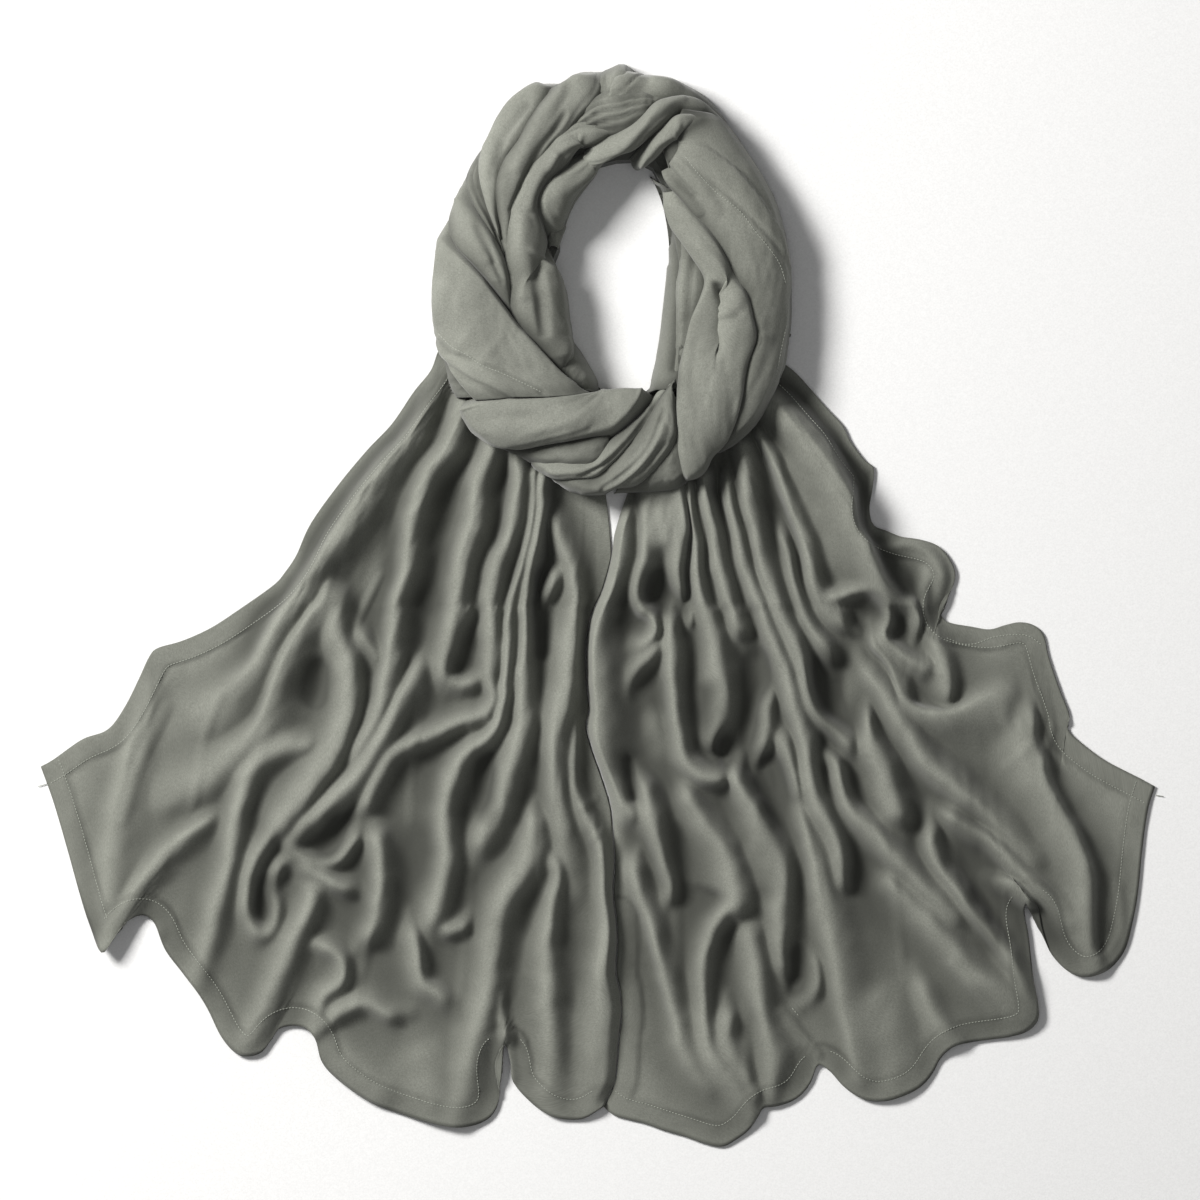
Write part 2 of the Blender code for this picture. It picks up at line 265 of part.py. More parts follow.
# Folds of the right end, in the same columns
RIGHT_FOLDS = (
    ((22, 78, 12, 4, 6), (18, 62, 18, 5, 9), (17, 40, 20, 6, 10), (12, 20, 20, 7, 10), (5, 0, 20, 6, 8),
     (0, -25, 20, 6, 12), (2, -50, 21, 7, 16), (4, -75, 20, 7, 14), (3, -100, 20, 7, 14),
     (9, -122, 19, 7, 9), (20, -141, 17, 8, 7), (36, -152, 17, 8, 8)),
    ((29, -112, 13, 4, 5), (34, -130, 17, 6, 7), (38, -148, 19, 9, 9), (44, -168, 17, 6, 6),
     (50, -190, 14, 4, 4), (49, -205, 10, 4, 4), (45, -217, 6, 3, 3)),
    ((37, 80, 16, 6, 8), (36, 60, 20, 6, 12), (35, 35, 20, 6, 10), (29, 15, 18, 5, 6), (31, 0, 17, 4, 5),
     (39, -6, 17, 4, 5), (41, -17, 17, 5, 4), (33, -27, 17, 7, 5), (20, -32, 17, 9, 7)),
    ((46, 78, 16, 9, 9), (47, 60, 20, 10, 10), (46, 40, 18, 9, 9), (45, 30, 14, 7, 7)),
    ((56, 82, 16, 7, 7), (58, 60, 20, 10, 6), (57, 35, 19, 8, 6), (59, 10, 16, 4, 4), (61, -3, 10, 3, 3)),
    ((54, 4, 12, 4, 4), (52, -15, 16, 6, 6), (53, -35, 18, 7, 7), (55, -60, 18, 5, 7),
     (57, -85, 18, 6, 7), (60, -105, 18, 7, 7), (72, -117, 18, 6, 8), (88, -119, 18, 6, 8),
     (98, -112, 16, 5, 5)),
    ((50, -18, 15, 6, 5), (40, -32, 17, 6, 6), (30, -42, 14, 6, 6), (23, -56, 11, 4, 5), (21, -76, 9, 3, 5)),
    ((27, -78, 6, 8, 8), (40, -80, 8, 8, 8), (47, -95, 8, 8, 6), (50, -115, 8, 8, 6)),
    ((67, 8, 8, 3, 3), (66, -10, 12, 4, 4), (66, -22, 6, 4, 4)),
    ((64, 86, 14, 3, 4), (66, 72, 16, 3, 4), (68, 55, 17, 3, 5), (71, 35, 18, 5, 5), (73, 15, 18, 5, 6),
     (77, -5, 18, 7, 7), (83, -25, 18, 8, 9), (86, -50, 18, 9, 9), (86, -75, 18, 9, 9),
     (80, -95, 16, 5, 4), (84, -109, 11, 3, 3)),
    ((75, 92, 15, 4, 5), (77, 75, 17, 5, 5), (82, 50, 18, 5, 6), (88, 25, 18, 6, 7), (95, 0, 18, 6, 7),
     (101, -18, 17, 7, 8), (107, -29, 14, 8, 8)),
    ((92, 102, 13, 4, 4), (94, 78, 15, 4, 5), (98, 52, 16, 5, 6), (107, 22, 17, 6, 7), (116, 0, 18, 6, 7),
     (123, -22, 18, 6, 8), (132, -45, 18, 7, 8), (140, -72, 18, 7, 9), (147, -95, 18, 6, 8),
     (149, -115, 18, 6, 6), (156, -138, 18, 7, 7), (166, -158, 17, 7, 7), (171, -178, 16, 6, 6),
     (173, -208, 10, 4, 4)),
    ((155, -98, 16, 6, 6), (168, -108, 16, 5, 5), (172, -125, 16, 5, 5), (180, -143, 17, 6, 6),
     (196, -160, 17, 8, 7), (212, -178, 17, 8, 8), (228, -197, 15, 7, 8), (247, -215, 12, 8, 8),
     (262, -232, 8, 7, 7)),
    ((104, 112, 16, 6, 7), (107, 85, 18, 7, 8), (110, 60, 18, 6, 8), (116, 35, 18, 5, 8),
     (123, 12, 18, 6, 8), (130, -8, 18, 6, 8), (140, -28, 18, 7, 7), (145, -48, 17, 6, 5),
     (149, -65, 16, 5, 5), (158, -79, 16, 5, 5), (172, -93, 16, 6, 6), (186, -107, 16, 8, 8)),
    ((129, 62, 10, 4, 4), (133, 42, 14, 4, 5), (136, 22, 15, 5, 5), (143, 0, 15, 5, 6),
     (152, -17, 15, 6, 6), (162, -32, 14, 7, 6), (167, -48, 9, 5, 5)),
    ((114, 122, 14, 3, 4), (124, 103, 16, 4, 5), (133, 82, 17, 4, 6), (142, 60, 17, 4, 6),
     (150, 35, 17, 5, 7), (154, 12, 16, 6, 7), (163, -2, 14, 8, 10), (172, -14, 12, 5, 6),
     (183, -18, 9, 3, 3)),
    ((152, 10, 15, 5, 5), (166, 7, 16, 5, 5), (180, 11, 16, 5, 5), (193, 12, 16, 5, 5), (203, 4, 16, 5, 5),
     (205, -8, 15, 4, 4), (200, -20, 15, 4, 4), (210, -31, 14, 5, 5), (228, -42, 13, 6, 6),
     (245, -44, 10, 6, 6)),
    ((192, -12, 13, 3, 6), (194, -26, 13, 3, 6), (204, -38, 12, 3, 6), (210, -52, 12, 3, 8),
     (218, -70, 13, 8, 4), (235, -76, 15, 10, 4), (255, -73, 14, 14, 4), (275, -66, 12, 18, 8),
     (300, -66, 9, 18, 14)),
    ((122, 142, 18, 8, 7), (140, 122, 22, 12, 9), (155, 103, 24, 16, 10), (170, 80, 25, 18, 8),
     (180, 58, 24, 18, 7), (188, 36, 23, 16, 6), (198, 16, 20, 10, 6), (210, 3, 15, 6, 6),
     (222, 0, 12, 5, 4), (225, -10, 12, 5, 3), (220, -23, 11, 5, 3)),
    ((231, 18, 8, 5, 8), (230, -2, 9, 4, 8), (236, -22, 10, 5, 7), (244, -40, 11, 7, 5),
     (246, -58, 11, 7, 4), (242, -73, 10, 6, 4)),
    ((200, 38, 5, 5, 5), (215, 44, 6, 5, 6), (230, 40, 7, 5, 7), (241, 24, 7, 6, 8), (238, 5, 6, 5, 7)),
    ((304, -60, 8, 10, 4), (301, -88, 10, 14, 5), (308, -112, 12, 14, 5), (320, -138, 13, 12, 5),
     (333, -165, 13, 12, 5), (342, -188, 13, 12, 5), (343, -212, 12, 12, 5), (345, -232, 10, 10, 4),
     (350, -250, 6, 8, 4)),
    ((184, -34, 10, 5, 5), (194, -50, 14, 6, 7), (206, -68, 16, 7, 8), (217, -88, 17, 8, 8),
     (232, -108, 17, 8, 9), (250, -126, 16, 8, 9), (270, -144, 14, 8, 9), (292, -163, 11, 8, 9),
     (318, -188, 7, 8, 12)),
    ((236, -140, 13, 6, 6), (252, -150, 15, 7, 6), (272, -164, 15, 7, 6), (292, -180, 14, 7, 6),
     (310, -197, 13, 7, 7), (325, -212, 11, 8, 8), (342, -234, 8, 7, 7)),
    ((234, -145, 13, 5, 5), (233, -165, 14, 5, 6), (240, -183, 14, 5, 6), (255, -202, 14, 5, 6),
     (270, -221, 13, 5, 6), (285, -241, 12, 5, 6), (297, -259, 10, 5, 6), (303, -276, 6, 6, 6)),
    ((266, -189, 6, 6, 4), (280, -191, 10, 7, 4), (294, -196, 14, 7, 4), (304, -206, 15, 4, 4)),
    ((190, -64, 12, 3, 3), (190, -80, 16, 4, 5), (193, -98, 18, 8, 8), (203, -118, 18, 10, 9),
     (209, -140, 18, 10, 9), (212, -160, 18, 12, 9)),
    ((139, -128, 9, 4, 4), (145, -148, 13, 5, 6), (152, -170, 16, 6, 9), (159, -195, 17, 8, 9),
     (163, -220, 16, 8, 12), (168, -245, 14, 8, 14), (174, -275, 12, 7, 16), (179, -300, 10, 5, 16),
     (183, -325, 7, 4, 14)),
    ((188, -262, 8, 14, 14), (198, -288, 8, 18, 16), (206, -312, 6, 20, 14), (208, -332, 4, 14, 12)),
    ((197, -182, 12, 7, 7), (208, -198, 14, 8, 8), (228, -216, 14, 9, 8), (247, -238, 13, 9, 8),
     (266, -258, 12, 9, 8), (285, -271, 10, 10, 9), (298, -282, 7, 10, 9)),
    ((224, -255, 7, 6, 6), (232, -275, 9, 6, 7), (240, -292, 9, 6, 7), (250, -305, 6, 7, 7)),
    ((125, -52, 10, 3, 3), (119, -70, 14, 5, 6), (118, -90, 16, 7, 7), (112, -108, 14, 4, 4)),
    ((126, -80, 15, 8, 7), (134, -102, 15, 6, 6), (140, -122, 15, 4, 4), (146, -142, 13, 4, 4)),
    ((100, -105, 14, 4, 4), (97, -118, 18, 5, 6), (104, -132, 18, 7, 6), (114, -148, 18, 10, 7),
     (122, -168, 18, 11, 8), (127, -190, 17, 12, 9), (129, -215, 15, 9, 8), (129, -240, 13, 6, 6),
     (130, -266, 7, 4, 4)),
    ((57, -118, 16, 6, 6), (66, -135, 16, 8, 7), (77, -152, 16, 9, 8), (88, -170, 16, 11, 8),
     (96, -190, 17, 13, 9), (98, -208, 17, 12, 11), (90, -214, 16, 6, 8), (80, -228, 15, 6, 6),
     (75, -248, 14, 5, 6), (75, -275, 13, 5, 5), (77, -298, 13, 5, 5), (85, -318, 12, 7, 7),
     (98, -337, 10, 8, 5), (110, -352, 6, 7, 4)),
    ((106, -216, 15, 7, 8), (111, -245, 14, 7, 7), (114, -270, 13, 6, 7), (119, -295, 12, 5, 8),
     (124, -318, 10, 7, 8), (124, -340, 6, 5, 5)),
    ((90, -272, 9, 3, 5), (92, -288, 11, 7, 5), (92, -303, 11, 7, 6), (100, -322, 10, 6, 6),
     (110, -340, 8, 5, 5)),
    ((30, -168, 12, 3, 4), (27, -182, 14, 5, 7), (32, -202, 14, 5, 6), (40, -228, 14, 4, 7),
     (48, -258, 13, 4, 7), (54, -284, 12, 4, 8), (62, -308, 11, 5, 9), (73, -328, 9, 6, 10),
     (92, -346, 6, 7, 10)),
    ((143, -238, 7, 5, 5), (152, -248, 9, 6, 5), (153, -264, 9, 7, 5), (142, -278, 8, 7, 7)),
)

MATERIALS = {
    "scarf_cloth": ((0.19, 0.20, 0.17), 0.85),
    "inner_layers": ((0.12, 0.13, 0.11), 0.9),
}


def material(name):
    made = bpy.data.materials.get(name)
    if made is None:
        made = bpy.data.materials.new(name)
        made.use_nodes = True
        shader = made.node_tree.nodes["Principled BSDF"]
        colour, rough = MATERIALS[name]
        shader.inputs["Base Color"].default_value = (*colour, 1.0)
        shader.inputs["Roughness"].default_value = rough
    return made


def smooth_rows(rows, count):
    """The rows of a table, joined by a smooth curve and read again at evenly spread places."""
    rows = np.asarray(rows, float)
    ends = np.vstack([2 * rows[0] - rows[1], rows, 2 * rows[-1] - rows[-2]])
    fine = []
    for i in range(len(rows) - 1):
        a, b, c, d = ends[i:i + 4]
        for t in np.arange(0, 1, 0.125):
            fine.append(0.5 * (2 * b + (c - a) * t + (2 * a - 5 * b + 4 * c - d) * t * t
                               + (3 * b - a - 3 * c + d) * t ** 3))
    fine.append(rows[-1])
    fine = np.array(fine)
    run = np.concatenate([[0], np.cumsum(np.hypot(*np.diff(fine[:, :2], axis=0).T))])
    places = np.linspace(0, run[-1], count)
    return np.column_stack([np.interp(places, run, fine[:, k]) for k in range(fine.shape[1])])


def distance_to(outline, x, y):
    """How far each point is from a closed outline."""
    corners = np.asarray(outline, float)
    nearest = np.full(x.shape, np.inf)
    for (ax, ay), (bx, by) in zip(corners, np.roll(corners, -1, axis=0)):
        span = (bx - ax) ** 2 + (by - ay) ** 2
        t = np.clip(((x - ax) * (bx - ax) + (y - ay) * (by - ay)) / span, 0, 1)
        nearest = np.minimum(nearest, np.hypot(x - ax - t * (bx - ax), y - ay - t * (by - ay)))
    return nearest


def edge_distance(x, y):
    """How far inside the ring's two edges each point lies."""
    return np.minimum(distance_to(RING_OUTLINE, x, y), distance_to(HOLE_OUTLINE, x, y))


def ring_surface(x, y, inset=0.0):
    """Height of the wound ring, rounded down to the floor at its outer edge and at its hole."""
    edge = edge_distance(x, y) - inset
    rounding = RING_ROUNDING - inset
    rise = 1 - np.clip(edge, 0, rounding) / rounding
    height = (RING_HEIGHT - inset) * np.sqrt(np.maximum(0, 1 - rise ** 2))
    for cx, cy, length, width, lean, depth in RING_HOLLOWS:
        turn = math.radians(lean)
        along = (x - cx) * math.sin(turn) + (y - cy) * math.cos(turn)
        across = (x - cx) * math.cos(turn) - (y - cy) * math.sin(turn)
        height -= depth * np.exp(-(along / length) ** 2 - (across / width) ** 2) * np.clip(edge / 8, 0, 1)
    return np.maximum(height, 0)


def along_crest(crest, x, y):
    """Distance from each point to a crest, its side of it (-1 to 1) and the crest's row read there."""
    start, step = crest[:-1, :2], np.diff(crest[:, :2], axis=0)
    square = (step ** 2).sum(axis=1) + 1e-9
    gap_x, gap_y = x[:, None] - start[:, 0], y[:, None] - start[:, 1]
    t = np.clip((gap_x * step[:, 0] + gap_y * step[:, 1]) / square, 0, 1)
    away = np.hypot(gap_x - t * step[:, 0], gap_y - t * step[:, 1])
    near = away.argmin(axis=1)[:, None]
    t = np.take_along_axis(t, near, 1)
    row = crest[near[:, 0]] * (1 - t) + crest[near[:, 0] + 1] * t
    tangent = np.gradient(crest[:, :2], axis=0)
    way = tangent[near[:, 0]] * (1 - t) + tangent[near[:, 0] + 1] * t
    way /= np.maximum(np.hypot(way[:, 0], way[:, 1])[:, None], 1e-9)
    gap = np.take_along_axis(away, near, 1)[:, 0]
    side = way[:, 0] * (y - row[:, 1]) - way[:, 1] * (x - row[:, 0])
    return gap, np.clip(side / np.maximum(gap, 0.6), -1, 1), row


def faded(crest, borders):
    """A crest whose height dies away at each end that doesn't reach a border of the cloth."""
    run = np.concatenate([[0], np.cumsum(np.hypot(*np.diff(crest[:, :2], axis=0).T))])
    for end, away in ((0, run), (-1, run[-1] - run)):
        if np.hypot(*(borders - crest[end, :2]).T).min() < FADE_MARGIN:
            continue
        share = np.clip(away / min(FOLD_FADE, 0.4 * run[-1]), 0, 1)
        crest[:, 2] *= FADE_LEAST + (1 - FADE_LEAST) * share * share * (3 - 2 * share)
    return crest


def fold_height(folds, x, y, borders):
    """Height of a loose end's folds above the cloth that lies on the floor."""
    total = np.zeros(x.shape)
    for fold in folds:
        crest = faded(smooth_rows(fold, 5 * len(fold)), borders)
        gap, side, row = along_crest(crest, x.ravel(), y.ravel())
        right = 0.5 + 0.5 * side
        width = row[:, 3] * (1 - right) + row[:, 4] * right
        tube = np.exp(-(gap / (FOLD_SPREAD * width)) ** FOLD_FULLNESS)
        skirt = np.exp(-np.sqrt((gap / width) ** 2 + SKIRT_ROUND) / SKIRT_SPREAD)
        bump = row[:, 2] * (tube * (1 - SKIRT_SHARE) + skirt * SKIRT_SHARE)
        total += (bump ** FOLD_SHARPNESS).reshape(x.shape)
    return FOLD_GAIN * total ** (1 / FOLD_SHARPNESS)


def smoothed(values, down, across):
    """A grid of values with its small waves smoothed away, by so many passes down and across."""
    for passes, axis in ((down, 0), (across, 1)):
        values = np.moveaxis(values, axis, 0).copy()
        for _ in range(passes):
            values[1:-1] = (values[:-2] + 2 * values[1:-1] + values[2:]) / 4
        values = np.moveaxis(values, 0, axis)
    return values


def normals_of(points):
    """Upward normals of a grid of points."""
    along = np.gradient(points, axis=0)
    across = np.gradient(points, axis=1)
    facing = np.cross(along, across)
    facing /= np.maximum(np.linalg.norm(facing, axis=-1, keepdims=True), 1e-9)
    return np.where(facing[..., 2:3] < 0, -facing, facing)


def add_piece(name, mesh, slot):
    mesh.name = name
    piece = bpy.data.objects.new(name, mesh)
    piece.data.materials.append(material(slot))
    bpy.data.collections["headscarf"].objects.link(piece)
    return piece


def walled_sheet(name, top, under, slot):
    """One closed wall from a grid of upper points and a grid of lower points."""
    rows, columns = top.shape[:2]
    builder = bmesh.new()
    level = abs(top[:-1, :-1, 2] - top[1:, 1:, 2]) <= abs(top[:-1, 1:, 2] - top[1:, :-1, 2])
    skins = [[[builder.verts.new(point * MM) for point in line] for line in skin] for skin in (top, under)]
    rim = [(0, c) for c in range(columns)] + [(r, columns - 1) for r in range(1, rows)]
    rim += [(rows - 1, c) for c in range(columns - 2, -1, -1)] + [(r, 0) for r in range(rows - 2, 0, -1)]
    for skin, turned in zip(skins, (False, True)):
        for r in range(rows - 1):
            for c in range(columns - 1):
                cell = (skin[r][c], skin[r][c + 1], skin[r + 1][c + 1], skin[r + 1][c])
                a, b, d, e = cell[::-1] if turned else cell
                if level[r, c] != turned:
                    builder.faces.new((a, b, d))
                    builder.faces.new((a, d, e))
                else:
                    builder.faces.new((a, b, e))
                    builder.faces.new((b, d, e))
    for (r, c), (nr, nc) in zip(rim, rim[1:] + rim[:1]):
        a, b, d, e = skins[0][nr][nc], skins[0][r][c], skins[1][r][c], skins[1][nr][nc]
        builder.faces.new((a, b, d))
        builder.faces.new((a, d, e))
    if builder.calc_volume(signed=True) < 0:
        bmesh.ops.reverse_faces(builder, faces=builder.faces[:])
    mesh = bpy.data.meshes.new(name)
    builder.to_mesh(mesh)
    builder.free()
    return add_piece(name, mesh, slot)


def ring_stretch(name, layer, bulge, rows):
    """A stretch of the wound ring, lying on the layers below and swelling between its two edges."""
    sections = smooth_rows(rows, max(5, round(1.15 * len(rows))))
    t = (1 - np.cos(np.linspace(0, math.pi, STRETCH_CELLS + 1))) / 2
    outer, inner = sections[:, None, :2], sections[:, None, 2:]
    plan = outer + (inner - outer) * t[None, :, None]
    bed = np.dstack([plan, ring_surface(plan[..., 0], plan[..., 1])])
    facing = normals_of(bed)
    inside = np.clip(edge_distance(plan[..., 0], plan[..., 1]) / LAYER_RUN, 0, 1)
    swell = (layer * LAYER_STEP + bulge * (4 * t * (1 - t)) ** 0.7)[None] * inside
    top = bed + facing * swell[..., None]
    under = top - facing * WALL
    under[..., 2] = np.maximum(under[..., 2], 0)
    top[..., 2] = np.maximum(top[..., 2], under[..., 2])
    return walled_sheet(name, top, under, "scarf_cloth")


def evened(line):
    """The same line with its small waves smoothed away and its ends kept."""
    coarse = np.linspace(0, 1, TAIL_COLUMNS + 1)
    fine = np.linspace(0, 1, len(line))
    soft = np.column_stack([np.interp(coarse, fine, line[:, k]) for k in (0, 1)])
    for _ in range(3 * len(soft)):
        soft[1:-1] = (soft[:-2] + 2 * soft[1:-1] + soft[2:]) / 4
    return np.column_stack([np.interp(fine, coarse, soft[:, k]) for k in (0, 1)])


def tail_plan(root, hem, left_side, right_side, columns, rows):
    """Where each column and row of a loose end lies: a fan between its root and its hem."""
    u = np.linspace(0, 1, columns + 1)[None, :, None]
    v = (np.linspace(0, 1, rows + 1) ** 0.95)[:, None, None]
    top_edge = smooth_rows(root, columns + 1)
    low_edge = smooth_rows(hem, columns + 1)
    soft_low = evened(low_edge)
    sides = []
    for side in (left_side, right_side):
        fine = smooth_rows(side, 400)
        steps = np.round(v[:, 0, 0] * 399).astype(int)
        sides.append(fine[steps])
    fan = top_edge[None] * (1 - v) + soft_low[None] * v
    fan = fan + (low_edge - soft_low)[None] * v ** 6
    for side, weight, column in ((sides[0], (1 - u) ** 5, 0), (sides[1], u ** 5, -1)):
        fan = fan + (side - fan[:, column])[:, None, :] * weight
    return fan


def loose_end(name, root, hem, left_side, right_side, folds, outer):
    """One loose end: its folds read on a fine plan, smoothed, and kept at each cell of the solid."""
    fine = tail_plan(root, hem, left_side, right_side, TAIL_COLUMNS * FINER, TAIL_ROWS * FINER)
    x, y = fine[..., 0], fine[..., 1]
    borders = np.concatenate([fine[0], fine[-1], fine[:, 0], fine[:, -1]])
    rise = fold_height(folds, x, y, borders)
    rise *= SIDE_LEAST + (1 - SIDE_LEAST) * np.clip(side_distance(fine[:, outer], x, y) / SIDE_FLAT, 0, 1) ** 1.5
    rise = WALL + smoothed(rise, 3, 4)[::FINER, ::FINER]
    top = np.dstack([fine[::FINER, ::FINER], rise])
    upright = np.maximum(normals_of(top)[..., 2], 0.3)
    under = np.dstack([top[..., :2], np.maximum(0, rise - WALL / upright)])
    return walled_sheet(name, top, under, "scarf_cloth")


def side_distance(line, x, y):
    """How far each point is from an open line."""
    nearest = np.full(x.shape, np.inf)
    for (ax, ay), (bx, by) in zip(line[:-1], line[1:]):
        span = (bx - ax) ** 2 + (by - ay) ** 2 + 1e-9
        t = np.clip(((x - ax) * (bx - ax) + (y - ay) * (by - ay)) / span, 0, 1)
        nearest = np.minimum(nearest, np.hypot(x - ax - t * (bx - ax), y - ay - t * (by - ay)))
    return nearest


def moved_out(line, shift):
    """A line moved sideways by a small gap, to the left of the way it runs."""
    line = np.asarray(line, float)
    step = np.gradient(line, axis=0)
    step /= np.maximum(np.hypot(step[:, 0], step[:, 1])[:, None], 1e-9)
    return line + np.column_stack([-step[:, 1], step[:, 0]]) * shift


def ring_core():
    """The hidden layers of the ring: one rounded solid with a flat underside."""
    centre = np.array([14.0, 228.0])
    rows = []
    for k in range(CORE_STATIONS):
        turn = 2 * math.pi * k / CORE_STATIONS
        way = np.array([math.cos(turn), math.sin(turn)])
        reach = []
        for outline in (HOLE_OUTLINE, RING_OUTLINE):
            corners = np.asarray(outline, float) - centre
            for a, b in zip(corners, np.roll(corners, -1, axis=0)):
                cross = way[0] * (b - a)[1] - way[1] * (b - a)[0]
                if abs(cross) < 1e-9:
                    continue
                along = (a[0] * (b - a)[1] - a[1] * (b - a)[0]) / cross
                part = (a[0] * way[1] - a[1] * way[0]) / cross
                if along > 0 and 0 <= part < 1:
                    reach.append(along)
                    break
        inner, outer = reach
        spans = np.linspace(0, 1, CORE_CELLS + 1)
        spans = (1 - np.cos(spans * math.pi)) / 2
        rows.append(centre + way * (inner + CORE_MARGIN + (outer - inner - 2 * CORE_MARGIN) * spans)[:, None])
    plan = np.array(rows)
    height = ring_surface(plan[..., 0], plan[..., 1], CORE_INSET)
    height[:, 0] = height[:, -1] = 0.8
    height = np.maximum(height, 0.8)
    builder = bmesh.new()
    upper = [[builder.verts.new((*(p * MM), z * MM)) for p, z in zip(line, zs)]
             for line, zs in zip(plan, height)]
    lower = [[builder.verts.new((*(line[k] * MM), CORE_FLOOR)) for k in (0, -1)] for line in plan]
    for k in range(CORE_STATIONS):
        n = (k + 1) % CORE_STATIONS
        for c in range(CORE_CELLS):
            builder.faces.new((upper[k][c], upper[k][c + 1], upper[n][c + 1], upper[n][c]))
        builder.faces.new((lower[k][0], lower[n][0], lower[n][1], lower[k][1]))
        builder.faces.new((lower[k][1], lower[n][1], upper[n][-1], upper[k][-1]))
        builder.faces.new((lower[n][0], lower[k][0], upper[k][0], upper[n][0]))
    bmesh.ops.triangulate(builder, faces=builder.faces[:])
    bmesh.ops.recalc_face_normals(builder, faces=builder.faces[:])
    mesh = bpy.data.meshes.new("ring_core")
    builder.to_mesh(mesh)
    builder.free()
    return add_piece("ring_core", mesh, "inner_layers")


def between(outline, first, last):
    """The part of a closed outline from one corner to another, going forward."""
    places = list(outline)
    start, end = places.index(first), places.index(last)
    if end < start:
        places = places + places
        end += len(outline)
    return places[start:end + 1]


def main():
    for thing in list(bpy.data.objects):
        bpy.data.objects.remove(thing)
    group = bpy.data.collections.new("headscarf")
    bpy.context.scene.collection.children.link(group)

    ring_core()
    for name, (layer, bulge, rows) in STRETCHES.items():
        ring_stretch(name, layer, bulge, rows)

    left_root = moved_out(between(RING_OUTLINE, (8, 79), (-110, 180))[::-1], -1.5)
    left_root[0] = LEFT_OUTER_SIDE[0]
    left_root[-1] = (7, 77.5)
    left_inner = np.asarray(LEFT_INNER_SIDE, float) - (SEAM_GAP, 0)
    left_hem = np.asarray(LEFT_HEM, float)
    left_hem[-1] = left_inner[-1]
    loose_end("left_tail", left_root, left_hem, LEFT_OUTER_SIDE, left_inner, LEFT_FOLDS, 0)

    right_root = moved_out(between(RING_OUTLINE, (131, 170), (26, 80))[::-1], -1.5)
    loose_end("right_tail", right_root, RIGHT_HEM, RIGHT_INNER_SIDE, RIGHT_OUTER_SIDE, RIGHT_FOLDS, -1)


main()
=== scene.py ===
"""Looks of the headscarf: its cloth, folds, hems, stitches and loose threads, with the floor and the light.

All tables are in millimetres, seen from above: X to the right, Y towards the ring, Z up.
They are the tables of the part's source, with the finer creases added below them.
"""

import math

import bpy
import numpy as np
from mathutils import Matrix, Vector
from mathutils.bvhtree import BVHTree


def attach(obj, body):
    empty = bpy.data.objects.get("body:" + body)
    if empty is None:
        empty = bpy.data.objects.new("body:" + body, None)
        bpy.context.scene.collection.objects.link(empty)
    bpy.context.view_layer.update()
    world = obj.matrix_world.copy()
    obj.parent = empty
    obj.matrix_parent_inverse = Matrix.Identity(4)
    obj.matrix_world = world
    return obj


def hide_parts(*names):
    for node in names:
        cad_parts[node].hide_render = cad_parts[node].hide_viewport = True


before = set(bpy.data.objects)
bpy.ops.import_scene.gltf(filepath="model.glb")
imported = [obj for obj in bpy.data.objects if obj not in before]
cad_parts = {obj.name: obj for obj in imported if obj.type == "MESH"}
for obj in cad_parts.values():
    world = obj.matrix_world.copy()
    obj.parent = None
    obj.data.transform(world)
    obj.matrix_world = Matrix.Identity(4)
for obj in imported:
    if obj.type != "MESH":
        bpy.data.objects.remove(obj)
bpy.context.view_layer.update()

MM = 0.001

CLOTH = 0.9               # thickness of the shown cloth
LAYER_STEP = 2.1          # how much higher each ring layer lies than the one below
LAYER_RUN = 9.0           # how far in from the ring's edges the layers part to that height
RING_HEIGHT = 38.0        # top of the wound ring
RING_ROUNDING = 34.0      # width of its rounded shoulder, seen from above
ROOT_LIFT = 17.0          # how high the ring's rim lies where the loose ends come out under it
TUCK = 9.0                # how far the loose ends run in under the ring
FOLD_SHARPNESS = 7        # how crisply two folds meet
FOLD_SPREAD = 1.28        # how wide a fold's crest is, in stated half widths
FOLD_FULLNESS = 2.3       # how full and round that crest is
SKIRT_SPREAD = 2.6        # how far its soft foot runs, in stated half widths
SKIRT_SHARE = 0.33        # how much of its height is in that foot
FOLD_GAIN = 1.35          # how much fuller the shown folds stand than stated
FOLD_LEAN = 0.32          # how far an uneven fold leans over, for each mm of its height
FOLD_FADE = 16.0          # length over which a fold that ends inside the cloth dies away
HEM_WIDTH = 15.0          # width of the turned hem
HEM_RISE = 0.7            # its extra thickness
HEM_SHADE = 0.2           # how much darker it is painted: painted shade for the light that comes through one layer from the floor and less through two
HEM_LINE = 1.6            # width of the painted dark line of shade at its inner side and at the edge of the cloth
HEM_LINE_SHADE = 0.3      # how dark that painted shade is
SEAM_DEPTH = 13.6         # how far in from the edge its stitches run
HOLLOW_DEPTH = 17         # how far below the nearby crests a hollow's painted shade is darkest
INNER_ROLL = 7.0          # width of the rounding down to the floor at a loose end's inner side
SIDE_FLAT = 16.0          # how far in from its outer side a loose end lies nearly flat
TAIL_COLUMNS = 270        # grid cells across a loose end
TAIL_ROWS = 170           # grid cells along a loose end
STRETCH_ROW = 1.5         # length of a stretch's grid cells
STRETCH_ROWS = (50, 190)  # the least and the most of them
STRETCH_CELL = 0.9        # their width
STRETCH_CELLS = (18, 60)  # the least and the most of them across
TAPER_WIDTH = 13.0        # a stretch narrower than this stands lower
TAPER_LEAST = 0.12        # the least share of its height that is left
CREASE_GAIN = 1.4         # how much higher the creases of the ring stand than stated
RING_SHADE = 0.1          # painted shade that all of the ring has
EDGE_SHADE_WIDTH = 7.0    # width of the painted shade along a stretch's edges
EDGE_SHADE = 0.3          # how dark that painted shade is
GROOVE_WIDTH = 6.5        # width of the painted shade beside a higher stretch
GROOVE_SHADE = 0.8        # how dark that painted shade is
SHADE_REACH = 15          # how far from a higher stretch that painted shade is worked out
